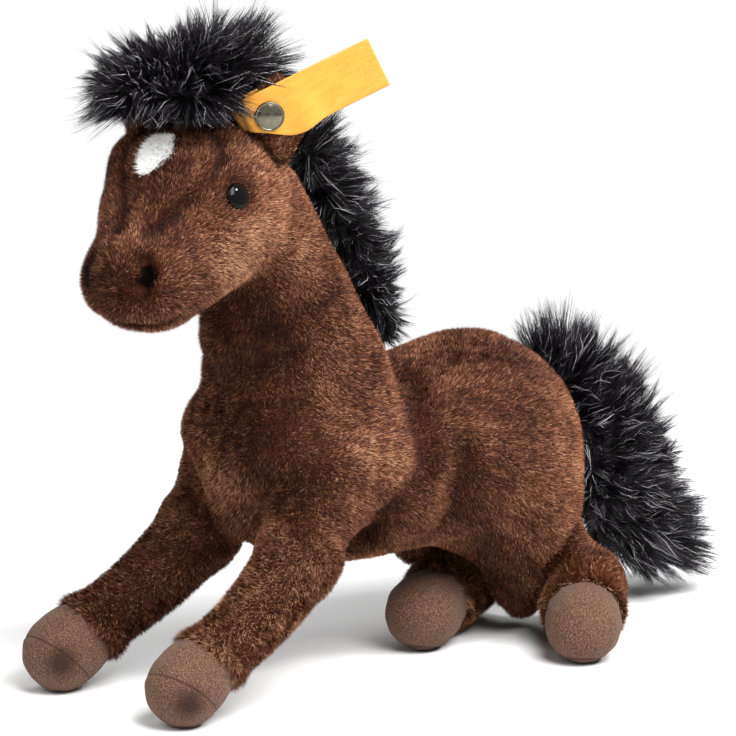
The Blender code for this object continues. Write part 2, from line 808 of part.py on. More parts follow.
def build_eyes(head_skin, head_filling, glossy, plastic):
    """The eyes on their shanks, each with a lock washer inside the skin."""
    depth = EYE_SHANK_LENGTH + GAP
    hole = EYE_SHANK_RADIUS + GAP
    top = -(SKIN + EYE_WASHER_ROOM)
    for name, side in (("left", 1), ("right", -1)):
        point, normal = on_head(side * EYE_BEARING, EYE_RISE)
        outline = [(GAP + rise * EYE_DOME, share * EYE_RADIUS) for rise, share in EYE_DOME_SHARES]
        outline += [(GAP, EYE_SHANK_RADIUS), (-EYE_SHANK_LENGTH, EYE_SHANK_RADIUS)]
        added(name + "_eye", turned_form(point, normal, outline), glossy)
        washer = [(top, hole), (top, EYE_WASHER_RADIUS), (top - EYE_WASHER_THICKNESS, EYE_WASHER_RADIUS),
                  (top - EYE_WASHER_THICKNESS, hole)]
        added(name + "_eye_washer", turned_form(point, normal, washer, loop=True), plastic)
        cut(head_skin, cutter(name + "_eye_hole", rod(point, normal, hole, SKIN + OVERRUN, OVERRUN)))
        pocket = rod(point, normal, EYE_WASHER_RADIUS + GAP, depth, OVERRUN)
        cut(head_filling, cutter(name + "_eye_pocket", pocket))


def build_star(head, white):
    """The white pile on the forehead, standing a little above the head's own."""
    point, normal = on_head(STAR_BEARING, STAR_RISE)
    _, _, left, _ = head_frame()
    rows = [Row(point - normal * OVERRUN, STAR_WIDTH / 2, STAR_HEIGHT / 2),
            Row(point + normal * OVERRUN, STAR_WIDTH / 2, STAR_HEIGHT / 2)]
    across = (left - normal * left.dot(normal)).normalized()
    star = added("star_patch", mesh_of(rings_of(rows, across, 1, STAR_SIDES, along=normal)), white)
    pile = cutter("star_pile_height", mesh_of(inset(head, -STAR_PILE)))
    cut(star, pile, operation="INTERSECT")
    cut(star, bpy.data.objects["head_block"], bpy.data.objects["forelock_block"])


def ear_swing(points, ear):
    """The hull of what points of an ear pass as it tips."""
    return swept(points, ear.root, ear.level, -EAR_SWING, EAR_SWING, 2)


def build_ear(name, ear, head, plush, velour):
    """Two sheets back to back, kept clear of the head however far the ear tips."""
    heads = []
    for step in (-1, 0, 1):
        tipped = [turned(ring, ear.root, ear.level, step * EAR_SWING) for ring in inset(head, -GAP)]
        heads.append(cutter(f"head_at_{name}_ear_{step}", mesh_of(tipped)))
    halves = []
    for half, direction, material in (("outer", ear.opening, plush), ("lining", -ear.opening, velour)):
        piece = added(f"{name}_ear_{half}", mesh_of(ear_rings(ear)), material)
        other_half = beyond(ear.root - direction * (GAP / 2), direction)
        cut(piece, cutter(f"beyond_{name}_ear_{half}", other_half), *heads)
        halves.append(piece)
    return halves, heads


def build_ears(head, forelock, plush, velour, ribbon_cloth, steel):
    """Both ears; the left one carries the ribbon and its button."""
    for name, side in (("left", 1), ("right", -1)):
        ear = ear_frame(side)
        pieces, heads = build_ear(name, ear, head, plush, velour)
        cloud = [point for ring in inset(ear_rings(ear), -SWING_ROOM) for point in ring]
        cut(forelock, cutter(f"{name}_ear_room", ear_swing(cloud, ear)))
        if side > 0:
            ribbon, rivet_hole = build_ribbon(ear, ribbon_cloth, steel)
            cut(ribbon, *heads)
            pinch = cutter("ribbon_fold", ribbon_fold(ear))
            for piece in pieces:
                cut(piece, rivet_hole, pinch)
            cut(forelock, cutter("ribbon_room", ear_swing(ribbon_cloud(ear), ear)))
            pieces += [ribbon, bpy.data.objects["ear_button"], bpy.data.objects["ear_button_washer"]]
        for piece in pieces:
            put_origin(piece, ear.root)


def main():
    for thing in list(bpy.data.objects):
        bpy.data.objects.remove(thing)

    plush = plain_material("chestnut_plush", (0.115, 0.036, 0.018), 0.9)
    black = plain_material("black_long_pile", (0.018, 0.016, 0.022), 0.75)
    velour = plain_material("taupe_velour", (0.21, 0.12, 0.09), 0.85)
    white = plain_material("white_pile", (0.8, 0.82, 0.8), 0.9)
    fibre = plain_material("fibre_filling", (0.75, 0.75, 0.72), 0.95)
    glossy = plain_material("black_eye", (0.01, 0.01, 0.01), 0.08)
    plastic = plain_material("washer_plastic", (0.6, 0.6, 0.6), 0.5)
    steel = plain_material("button_metal", (0.75, 0.73, 0.68), 0.25, 1.0)
    ribbon_cloth = plain_material("yellow_ribbon", (0.95, 0.62, 0.07), 0.7)

    torso = torso_rings(*FINE)
    neck = neck_rings(*FINE)
    head = head_rings(*FINE)
    for name, rings in (("torso", torso), ("neck", neck), ("head", head)):
        cutter(name + "_block", mesh_of(inset(rings, -GAP)))

    head_skin, head_filling = build_body(torso, neck, head, plush, fibre)
    build_legs(plush, velour, fibre)
    build_tail(torso, black)
    forelock = build_mane_and_forelock(black)
    build_eyes(head_skin, head_filling, glossy, plastic)
    build_star(head, white)
    build_ears(head, forelock, plush, velour, ribbon_cloth, steel)


main()
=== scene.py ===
# %% [markdown]
# # A plush foal
#
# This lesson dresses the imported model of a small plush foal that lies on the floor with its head
# up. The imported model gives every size, place and joint. What is added here is what cloth and
# pile look like: short brown plush, long black pile on the mane, forelock and tail, velour
# hooves, glass-black eyes, and a woven ribbon held in one ear by a metal button.
#
# Lengths are in metres, +X is the foal's left, -Y is ahead of it and +Z is up.

import json
import math

import bmesh
import bpy
import numpy as np
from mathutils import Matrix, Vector
from mathutils.bvhtree import BVHTree
from mathutils.kdtree import KDTree


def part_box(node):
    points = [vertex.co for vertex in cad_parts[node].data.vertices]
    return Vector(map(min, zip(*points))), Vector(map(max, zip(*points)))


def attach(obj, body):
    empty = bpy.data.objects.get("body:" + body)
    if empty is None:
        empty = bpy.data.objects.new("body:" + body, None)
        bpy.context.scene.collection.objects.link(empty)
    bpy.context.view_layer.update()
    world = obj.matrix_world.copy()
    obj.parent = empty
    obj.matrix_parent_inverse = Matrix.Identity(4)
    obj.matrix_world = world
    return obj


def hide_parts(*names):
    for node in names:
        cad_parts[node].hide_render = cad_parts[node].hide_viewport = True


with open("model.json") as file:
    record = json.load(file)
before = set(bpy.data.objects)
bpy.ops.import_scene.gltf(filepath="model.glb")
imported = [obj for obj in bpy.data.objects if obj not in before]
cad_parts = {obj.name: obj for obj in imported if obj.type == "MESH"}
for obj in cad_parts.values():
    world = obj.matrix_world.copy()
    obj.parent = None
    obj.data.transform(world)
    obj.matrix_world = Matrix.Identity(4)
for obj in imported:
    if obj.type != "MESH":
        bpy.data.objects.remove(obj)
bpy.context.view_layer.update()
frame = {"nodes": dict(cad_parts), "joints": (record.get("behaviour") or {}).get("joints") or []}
nodes = frame["nodes"]
joints = {joint["child"]: joint for joint in frame["joints"]}
print("nodes:", len(nodes), "joints:", len(joints))

# %% [markdown]
# ## Camera, lamps and world
#
# A product photograph of a toy is taken from far away with a long lens, so that near and far
# parts keep their sizes. The camera stands 2.5 m off, a little above the foal and to its left.
# It could be aimed with a constraint, but a direction worked out once leaves nothing live in the
# file. The main lamp hangs to the camera's right, and a small one beside it gives the glints in
# the eyes and on the long pile, where pale fibres add painted glints. A wide lamp fills from the
# left, and one behind lights the edges.
# The world is plain white where the camera or a reflection sees it, and much weaker as a light,
# so that the shadows stay.

# %% Camera
AIM = Vector((0.00767, -0.07290, 0.10103))
AZIMUTH = math.radians(49)
ELEVATION = math.radians(13)
CAMERA_DISTANCE = 2.5
VIEW_ANGLE = math.radians(5.524)
CLIP_END = 20


def towards(azimuth, elevation):
    """The direction from the foal to something at an azimuth from straight ahead, and a height."""
    level = math.cos(elevation)
    return Vector((math.sin(azimuth) * level, -math.cos(azimuth) * level, math.sin(elevation)))


def facing(thing, place, target):
    """Puts a camera or a lamp at a place, looking at a target."""
    thing.location = place
    thing.rotation_euler = (target - place).to_track_quat("-Z", "Y").to_euler()


camera = bpy.data.objects.new("camera", bpy.data.cameras.new("camera"))
bpy.context.scene.collection.objects.link(camera)
camera.data.angle = VIEW_ANGLE
camera.data.clip_end = CLIP_END
facing(camera, AIM + towards(AZIMUTH, ELEVATION) * CAMERA_DISTANCE, AIM)
bpy.context.scene.camera = camera
bpy.context.scene.view_settings.view_transform = "Standard"
print("camera at", [round(value, 3) for value in camera.location])

# %% Lamps
LAMPS = (  # name, azimuth, elevation, distance, size, watts
    ("key", 84, 54, 1.3, 0.85, 39.0),
    ("spark", 125, 42, 1.3, 0.15, 7.0),
    ("fill", 350, 40, 1.4, 0.90, 8.0),
    ("back", 220, 50, 1.3, 0.70, 7.0),
)
for name, azimuth, elevation, distance, size, watts in LAMPS:
    lamp = bpy.data.lights.new(name, "AREA")
    lamp.size = size
    lamp.energy = watts
    holder = bpy.data.objects.new(name, lamp)
    bpy.context.scene.collection.objects.link(holder)
    facing(holder, AIM + towards(math.radians(azimuth), math.radians(elevation)) * distance, AIM)
print("lamps:", len(LAMPS))

# %% World
WORLD_STRENGTH = 0.20   # what lights the foal, while the camera and reflections see full white
world = bpy.data.worlds.new("studio")
bpy.context.scene.world = world
world.use_nodes = True
world.node_tree.nodes.clear()


def node(tree, kind, **values):
    """A new shader node, with the given values on it and on its inputs."""
    made = tree.nodes.new(kind)
    for name, value in values.items():
        if name in made.inputs:
            made.inputs[name].default_value = value
        else:
            setattr(made, name, value)
    return made


def linked(tree, *pairs):
    """Links each pair of sockets."""
    for one, other in pairs:
        tree.links.new(one, other)


tree = world.node_tree
path = node(tree, "ShaderNodeLightPath")
seen = node(tree, "ShaderNodeMath", operation="MAXIMUM")
also = node(tree, "ShaderNodeMath", operation="MAXIMUM")
strength = node(tree, "ShaderNodeMapRange")
strength.inputs["To Min"].default_value = WORLD_STRENGTH
strength.inputs["To Max"].default_value = 1.0
sky = node(tree, "ShaderNodeBackground", Color=(1, 1, 1, 1))
out = node(tree, "ShaderNodeOutputWorld")
linked(tree,
       (path.outputs["Is Camera Ray"], seen.inputs[0]),
       (path.outputs["Is Glossy Ray"], seen.inputs[1]),
       (seen.outputs[0], also.inputs[0]),
       (path.outputs["Is Transmission Ray"], also.inputs[1]),
       (also.outputs[0], strength.inputs["Value"]),
       (strength.outputs["Result"], sky.inputs["Strength"]),
       (sky.outputs[0], out.inputs["Surface"]))
print("world strength:", WORLD_STRENGTH)

# %% [markdown]
# ## Floor
#
# The foal lies on white paper that is lit until it is over-exposed, so only its shadows are seen,
# and they fade out before the paper ends. A shadow catcher could do this, but it needs a
# compositor behind it. Here the camera sees a light diffuse paper that fades into plain white,
# while the lamps' light is thrown back by a paper that is the same all over.

# %% Floor
FLOOR_SIZE = 6
PAPER_WHITE = 0.90      # what the paper throws back onto the foal
PAPER_SEEN = 0.82       # the paper that the camera sees, with its shadows
PAPER_NEAR = 0.22       # from here outwards the paper fades into the white of the background
PAPER_FAR = 0.42


def deselected():
    """Clears the selection, as every operator acts on all that is selected."""
    if bpy.context.object and bpy.context.object.mode != "OBJECT":
        bpy.ops.object.mode_set(mode="OBJECT")
    bpy.ops.object.select_all(action="DESELECT")


deselected()
bpy.ops.mesh.primitive_plane_add(size=FLOOR_SIZE, location=(0, 0, 0))
floor = bpy.context.object
floor.name = "studio_floor"
paper = bpy.data.materials.new("studio_paper")
paper.use_nodes = True
tree = paper.node_tree
tree.nodes.clear()
path = node(tree, "ShaderNodeLightPath")
plain = node(tree, "ShaderNodeBsdfDiffuse", Color=(PAPER_WHITE,) * 3 + (1,))
bright = node(tree, "ShaderNodeBsdfDiffuse", Color=(PAPER_SEEN,) * 3 + (1,))
glow = node(tree, "ShaderNodeEmission", Color=(1, 1, 1, 1))
place = node(tree, "ShaderNodeTexCoord")
offset = node(tree, "ShaderNodeVectorMath", operation="DISTANCE")
offset.inputs[1].default_value = (AIM.x, AIM.y, 0)
fade = node(tree, "ShaderNodeMapRange", interpolation_type="SMOOTHSTEP")
fade.inputs["From Min"].default_value = PAPER_NEAR
fade.inputs["From Max"].default_value = PAPER_FAR
seen_paper = node(tree, "ShaderNodeMixShader")
whole_paper = node(tree, "ShaderNodeMixShader")
out = node(tree, "ShaderNodeOutputMaterial")
linked(tree,
       (place.outputs["Object"], offset.inputs[0]),
       (offset.outputs["Value"], fade.inputs["Value"]),
       (fade.outputs["Result"], seen_paper.inputs[0]),
       (bright.outputs[0], seen_paper.inputs[1]),
       (glow.outputs[0], seen_paper.inputs[2]),
       (path.outputs["Is Camera Ray"], whole_paper.inputs[0]),
       (plain.outputs[0], whole_paper.inputs[1]),
       (seen_paper.outputs[0], whole_paper.inputs[2]),
       (whole_paper.outputs[0], out.inputs["Surface"]))
floor.data.materials.append(paper)
print("floor laid")

# %% [markdown]
# ## One skin for torso, neck and head
#
# The real body is sewn from panels and stuffed hard, so the torso runs into the neck and the neck
# into the head without an edge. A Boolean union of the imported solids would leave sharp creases
# where they meet, so their copies are swollen until they touch, remeshed into one skin, and
# smoothed. The skin then moves inwards by the height of the pile, because the solids stand where
# the tips of the pile are.

# %% Helpers for objects
SWELL = 0.0003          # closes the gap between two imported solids
MERGE = 1e-6            # vertices nearer than this are one
SOFTNESS = 0.5          # how far one round of smoothing moves a vertex
BALL_SEGMENTS, BALL_RINGS = 32, 16


def active(thing):
    """Selects one object alone and makes it the active one."""
    deselected()
    thing.select_set(True)
    bpy.context.view_layer.objects.active = thing


def applied(thing, kind, **values):
    """Adds a modifier, sets its values and applies it."""
    active(thing)
    modifier = thing.modifiers.new(kind.lower(), kind)
    for name, value in values.items():
        setattr(modifier, name, value)
    bpy.ops.object.modifier_apply(modifier=modifier.name)


def object_from(form, name):
    """A new object with what was modelled in a bmesh."""
    mesh = bpy.data.meshes.new(name)
    form.to_mesh(mesh)
    form.free()
    thing = bpy.data.objects.new(name, mesh)
    bpy.context.scene.collection.objects.link(thing)
    return thing


def copy_of(names, name):
    """One new object with copies of CAD nodes, merged so that each is closed."""
    form = bmesh.new()
    for each in names:
        form.from_mesh(nodes[each].data)
    bmesh.ops.remove_doubles(form, verts=form.verts, dist=MERGE)
    return object_from(form, name)


def largest_island(thing):
    """Keeps only the island with the most vertices, which drops pockets left inside."""
    form = bmesh.new()
    form.from_mesh(thing.data)
    left = set(form.verts)
    islands = []
    while left:
        front = [left.pop()]
        island = list(front)
        while front:
            vert = front.pop()
            for edge in vert.link_edges:
                other = edge.other_vert(vert)
                if other in left:
                    left.remove(other)
                    front.append(other)
                    island.append(other)
        islands.append(island)
    islands.sort(key=len)
    dropped = [vert for island in islands[:-1] for vert in island]
    bmesh.ops.delete(form, geom=dropped, context="VERTS")
    form.to_mesh(thing.data)
    form.free()


def grown(thing, distance):
    """Moves a surface outwards, or inwards where the distance is negative."""
    applied(thing, "DISPLACE", strength=distance, mid_level=0)


def smoothed(thing, rounds):
    """Smooths a surface a number of times."""
    applied(thing, "SMOOTH", factor=SOFTNESS, iterations=rounds)


def remeshed(thing, voxel):
    """Rebuilds an object as one closed skin of small quads."""
    applied(thing, "REMESH", mode="VOXEL", voxel_size=voxel)
    largest_island(thing)


def with_ball(thing, centre, radius):
    """Joins a ball to an object, to be remeshed with it."""
    deselected()
    bpy.ops.mesh.primitive_uv_sphere_add(segments=BALL_SEGMENTS, ring_count=BALL_RINGS,
                                         radius=radius, location=centre)
    thing.select_set(True)
    bpy.context.view_layer.objects.active = thing
    bpy.ops.object.join()


print("object helpers ready")

# %% Helpers for points


def rows_of(parts, name):
    """A value of each vertex, as rows of three numbers."""
    rows = np.empty(len(parts) * 3, np.float32)
    parts.foreach_get(name, rows)
    return rows.reshape(-1, 3).astype(float)


def points_of(thing):
    """The places of a mesh's vertices."""
    return rows_of(thing.data.vertices, "co")


def normals_of(thing):
    """The normals of a mesh's vertices."""
    return rows_of(thing.data.vertices, "normal")


def moved_to(thing, rows):
    """Puts the vertices of a mesh at new places."""
    thing.data.vertices.foreach_set("co", rows.astype(np.float32).ravel())
    thing.data.update()


WAVE_LENGTHS = (0.7, 1.5)   # the shortest and the longest, in shares of the usual length
WAVE_TERMS = 7          # how many waves are added up
WAVE_CALMING = 1.6      # brings most sums of waves between -1 and 1


def waves(points, length, seed):
    """A soft random field from about -1 to 1, whose swells are about a length apart."""
    random = np.random.default_rng(seed)
    total = np.zeros(len(points))
    for _ in range(WAVE_TERMS):
        direction = random.normal(size=3)
        direction /= np.linalg.norm(direction)
        number = 2 * math.pi / (length * random.uniform(*WAVE_LENGTHS))
        total += np.sin(points @ direction * number + random.uniform(0, 2 * math.pi))
    return np.clip(total / math.sqrt(WAVE_TERMS / 2) / WAVE_CALMING, -1, 1)


def unit(rows):
    """Rows scaled to length one."""
    return rows / np.maximum(np.linalg.norm(rows, axis=1, keepdims=True), 1e-9)


def smooth(values, low, high):
    """0 below one value, 1 above another, and a smooth step between."""
    share = np.clip((values - low) / (high - low), 0, 1)
    return share * share * (3 - 2 * share)


def spot_share(places, middle, reach):
    """1 in the middle of a soft round spot, falling to 0 round it."""
    return np.exp(-(np.linalg.norm(places - np.array(middle), axis=1) / reach) ** 2)


print("point helpers ready")

# %% Scattered places


def triangles_of(thing):
    """The corner indices of a mesh's triangles."""
    thing.data.calc_loop_triangles()
    rows = np.empty(len(thing.data.loop_triangles) * 3, np.int32)
    thing.data.loop_triangles.foreach_get("vertices", rows)
    return rows.reshape(-1, 3)


def scattered(thing, per_square_mm, share, random):
    """Random places on a mesh: their corners and weights. The share thins them at each vertex."""
    triangles = triangles_of(thing)
    places = points_of(thing)
    a, b, c = (places[triangles[:, k]] for k in range(3))
    areas = np.linalg.norm(np.cross(b - a, c - a), axis=1) / 2
    wanted = areas * share[triangles].mean(axis=1) * per_square_mm * 1e6
    ends = np.cumsum(wanted)
    picked = np.searchsorted(ends, random.uniform(0, ends[-1], int(ends[-1])))
    picked = np.minimum(picked, len(triangles) - 1)
    one, two = random.uniform(size=(2, len(picked)))
    over = one + two > 1
    one[over], two[over] = 1 - one[over], 1 - two[over]
    return triangles[picked], np.stack([1 - one - two, one, two], axis=1)


def mixed(field, corners, weights):
    """A vertex field's values at scattered places."""
    return (field[corners] * weights[:, :, None]).sum(axis=1)


def rooted(thing, per_square_mm, share, random):
    """Where fibres start on a mesh, and which way is up from it there."""
    corners, weights = scattered(thing, per_square_mm, share, random)
    roots = mixed(points_of(thing), corners, weights)
    return roots, unit(mixed(normals_of(thing), corners, weights))


print("samplers ready")

# %% Body skin
PILE_HEIGHT = 0.0017    # how far a skin lies under the tips of its pile
BODY_VOXEL = 0.0020
BODY_SMOOTHING = 22
SMOOTHING_LOSS = 0.0003     # what the smoothing takes off
LAST_SMOOTHING = 3
SHOULDERS = (  # middles and radii of balls that fill out the left shoulder, mirrored to the right
    ((0.0250, -0.1180, 0.0485), 0.0154), ((0.0225, -0.1085, 0.0640), 0.0165),
    ((0.0220, -0.1047, 0.0740), 0.0170))
HIPS = (  # the same for the thighs, which lie differently on the two sides
    ((0.0215, 0.0110, 0.0161), 0.0152), ((-0.0175, -0.0095, 0.0161), 0.0148),
    ((0.0150, 0.0060, 0.0340), 0.0105), ((-0.0190, -0.0290, 0.0300), 0.0095))
BODY_NODES = ("torso_skin", "torso_filling", "neck_skin", "neck_filling",
              "head_skin", "head_filling")

body_skin = copy_of(BODY_NODES, "body_skin")
grown(body_skin, SWELL)
for place, radius in SHOULDERS:
    with_ball(body_skin, place, radius)
    with_ball(body_skin, (-place[0], place[1], place[2]), radius)
for place, radius in HIPS:
    with_ball(body_skin, place, radius)
remeshed(body_skin, BODY_VOXEL)
smoothed(body_skin, BODY_SMOOTHING)
grown(body_skin, SMOOTHING_LOSS - PILE_HEIGHT)
smoothed(body_skin, LAST_SMOOTHING)
body_skin.data.shade_smooth()
print("body skin:", len(body_skin.data.vertices), "vertices")

# %% [markdown]
# ## Legs
#
# Each leg is a stuffed tube of its own, sewn to the body at its round upper end, so it stays a
# piece of its own that can swing. It is made like the body's skin. Where the hoof goes in, the
# plush ends in a cuff that flares, and whose upper side hangs a little over the hoof. Sculpting
# by hand would give the same, but moving vertices by a smooth step along the leg is exact and
# can be repeated on all four. The front legs bow a little too, as long stuffed legs do.

# %% Leg values
LEG_BODIES = ("front_left_leg", "front_right_leg", "hind_left_leg", "hind_right_leg")
LEG_VOXEL = 0.0014
LEG_SMOOTHING = 8
FRONT_LEG_LOSS = 0.0005     # the front legs are a little slimmer than their solids
CUFF_REACH = 0.0090
CUFF_FADE = 0.001       # past its end a cuff's form fades out over this length
CUFF_FLARES = {         # how far a leg widens where the hoof goes in
    "front_left_leg": 0.0010, "front_right_leg": 0.0010, "hind_left_leg": 0.0006,
    "hind_right_leg": -0.0012}
CUFF_DROOPS = {         # how far the upper side of a cuff hangs over its hoof
    "front_left_leg": 0.0028, "front_right_leg": 0.0028, "hind_left_leg": 0.0048,
    "hind_right_leg": 0.0010}
UPPER_SIDE = (-0.3, 0.5)    # normals that point upwards more than this count as the upper side
STRAIGHT = (0, 0, 0)
LEG_BOWS = {"front_left_leg": (0.0, 0.0018, -0.0022), "front_right_leg": (0.0, 0.0014, -0.0020)}


def middle_of(node_name):
    """The middle of a CAD node's box."""
    low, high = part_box(node_name)
    return np.array((low + high) / 2)


def cad_points(node_name):
    """The places of a CAD node's vertices."""
    return np.array([vertex.co for vertex in nodes[node_name].data.vertices])


def leg_axis(body):
    """Where a leg starts, the way down to the middle of its hoof, and how far its cuff is."""
    root = np.array(joints[body]["pos_m"])
    way = unit((middle_of(body.replace("_leg", "_hoof")) - root)[None])[0]
    return root, way, ((cad_points(body + "_skin") - root) @ way).max()


def cuff_shifts(body, places, outward):
    """How far each place of a leg moves: the cuff's flare and droop, and the leg's bow."""
    root, way, cuff_end = leg_axis(body)
    along = (places - root) @ way
    cuff_start = cuff_end - CUFF_REACH
    flare = CUFF_FLARES[body] * smooth(along, cuff_start, cuff_end - CUFF_REACH / 3)
    flare *= 1 - smooth(along, cuff_end, cuff_end + CUFF_FADE)
    upper = smooth(outward[:, 2], *UPPER_SIDE)
    upper *= smooth(along, cuff_start, cuff_end - 2 * CUFF_FADE)
    upper *= 1 - smooth(along, cuff_end + 0.5 * CUFF_FADE, cuff_end + 1.5 * CUFF_FADE)
    bow = np.sin(np.pi * np.clip(along / cuff_end, 0, 1))[:, None] * LEG_BOWS.get(body, STRAIGHT)
    return outward * flare[:, None] + way * (CUFF_DROOPS[body] * upper)[:, None] + bow


print("cuffs widen by", CUFF_FLARES)

# %% Leg skins
leg_skins = {}
for body in LEG_BODIES:
    skin = copy_of([body + "_skin", body + "_filling"], body + "_plush")
    grown(skin, SWELL)
    remeshed(skin, LEG_VOXEL)
    smoothed(skin, LEG_SMOOTHING)
    grown(skin, -PILE_HEIGHT - (FRONT_LEG_LOSS if body.startswith("front") else 0))
    places = points_of(skin)
    moved_to(skin, places + cuff_shifts(body, places, normals_of(skin)))
    skin.data.shade_smooth()
    leg_skins[body] = skin
print("leg skins:", [len(skin.data.vertices) for skin in leg_skins.values()])

# %% [markdown]
# ## Creases
#
# A hard-stuffed toy shows where its panels meet: a groove behind the shoulder, one before the
# thigh, folds across the neck, a seam down each side of the face, the line of the mouth, and
# pinched nostrils. They could be sculpted, or pressed in by a cloth simulation. Here each is a
# line of points on the skin, so that its depth stays a number. The skin sinks along it, and later
# the pile beside it is darkened as painted shade, which in the nostrils also stands for their dark
# spray. Lines on the head are mirrored in the head's own middle plane.

# %% Middle planes
HEAD_MIDDLE = np.array((0.0030, -0.1402, 0.1650))
HEAD_LEFT = np.array((0.9272, 0.3746, 0.0))
MUZZLE_SHIFT = 0.0022   # the muzzle leans to the right of the head's middle
MUZZLE_MIDDLE = HEAD_MIDDLE - MUZZLE_SHIFT * HEAD_LEFT
LEFT = np.array((1.0, 0.0, 0.0))
MIDDLE = np.zeros(3)


def mirrored(line, middle, across):
    """A line of points on the other side of a plane."""
    line = np.array(line)
    return line - 2 * ((line - middle) @ across)[:, None] * across


def line_distance(places, line):
    """How far places are from a line of points."""
    line = np.array(line)
    nearest = np.full(len(places), 1.0)
    for start, end in zip(line[:-1], line[1:]):
        way = end - start
        share = np.clip((places - start) @ way / (way @ way), 0, 1)
        gap = np.linalg.norm(places - start - share[:, None] * way, axis=1)
        nearest = np.minimum(nearest, gap)
    return nearest


head_turn = math.degrees(math.atan2(HEAD_LEFT[1], HEAD_LEFT[0]))
print("the head is turned by", round(head_turn, 1), "degrees")

# %% Crease lines
NOSTRIL = ((0.0288, -0.1842, 0.1549), (0.0306, -0.1846, 0.1516), (0.0299, -0.1866, 0.1476))
NOSTRILS = [NOSTRIL[1], mirrored(NOSTRIL, MUZZLE_MIDDLE, HEAD_LEFT)[1]]
CREASES = (  # middle and direction of the mirror, depth, half width, how much painted shade, points
    (MIDDLE, LEFT, 0.0054, 0.0062, 0.36, (
        (0.0117, -0.0608, 0.0985), (0.0225, -0.0667, 0.0936), (0.0300, -0.0702, 0.0861),
        (0.0337, -0.0709, 0.0785), (0.0350, -0.0712, 0.0714), (0.0349, -0.0750, 0.0666),
        (0.0343, -0.0805, 0.0630), (0.0320, -0.0871, 0.0573), (0.0195, -0.0858, 0.0480))),
    (MIDDLE, LEFT, 0.0046, 0.0060, 0.22, (
        (0.0348, -0.0540, 0.0743), (0.0354, -0.0558, 0.0690), (0.0347, -0.0565, 0.0632),
        (0.0327, -0.0564, 0.0571), (0.0284, -0.0547, 0.0503))),
    (MIDDLE, LEFT, 0.0020, 0.0040, 0.15, (
        (0.0143, -0.1239, 0.1215), (0.0187, -0.1200, 0.1240), (0.0221, -0.1145, 0.1277),
        (0.0236, -0.1072, 0.1305), (0.0232, -0.1013, 0.1319))),
    (MIDDLE, LEFT, 0.0016, 0.0038, 0.12, (
        (0.0036, -0.1264, 0.1078), (0.0111, -0.1242, 0.1101), (0.0167, -0.1205, 0.1125),
        (0.0204, -0.1164, 0.1148))),
    (HEAD_MIDDLE, HEAD_LEFT, 0.0019, 0.0025, 0.34, (
        (0.0128, -0.1445, 0.1909), (0.0188, -0.1462, 0.1875), (0.0236, -0.1486, 0.1834),
        (0.0258, -0.1563, 0.1773), (0.0251, -0.1631, 0.1723), (0.0237, -0.1718, 0.1662),
        (0.0241, -0.1791, 0.1614))),
    (MUZZLE_MIDDLE, HEAD_LEFT, 0.0038, 0.0022, 1.30, NOSTRIL),
    (MUZZLE_MIDDLE, HEAD_LEFT, 0.0024, 0.0020, 0.62, (
        (0.0111, -0.1851, 0.1355), (0.0183, -0.1840, 0.1350), (0.0250, -0.1813, 0.1354),
        (0.0299, -0.1760, 0.1361))),
    (HEAD_MIDDLE, HEAD_LEFT, 0.0010, 0.0022, 0.10, (
        (0.0326, -0.1732, 0.1390), (0.0322, -0.1680, 0.1415), (0.0315, -0.1629, 0.1448))),
    (HEAD_MIDDLE, HEAD_LEFT, 0.0012, 0.0060, 0.52, (
        (0.0322, -0.1477, 0.1738), (0.0324, -0.1476, 0.1722))),
)


def creased(places):
    """How far each place sinks, and how much painted shade darkens its pile."""
    sinks, crease_shades = np.zeros(len(places)), np.zeros(len(places))
    for middle, across, depth, half_width, darker, line in CREASES:
        for side in (line, mirrored(line, middle, across)):
            share = np.exp(-(line_distance(places, side) / half_width) ** 2)
            sinks = np.maximum(sinks, depth * share)
            crease_shades = np.maximum(crease_shades, darker * share)
    return sinks, crease_shades


print("creases:", len(CREASES), "lines on each side")

# %% [markdown]
# ## Swellings
#
# Stuffing also pushes the skin out between the seams, and leaves it hollow where there is little
# of it. Each entry is a soft round swelling, or a hollow where its height is negative, on both
# sides of a middle plane. Proportional editing does the same by hand. Between the hind legs the
# body hangs clear of the floor, so its lowest part is pressed upwards there.

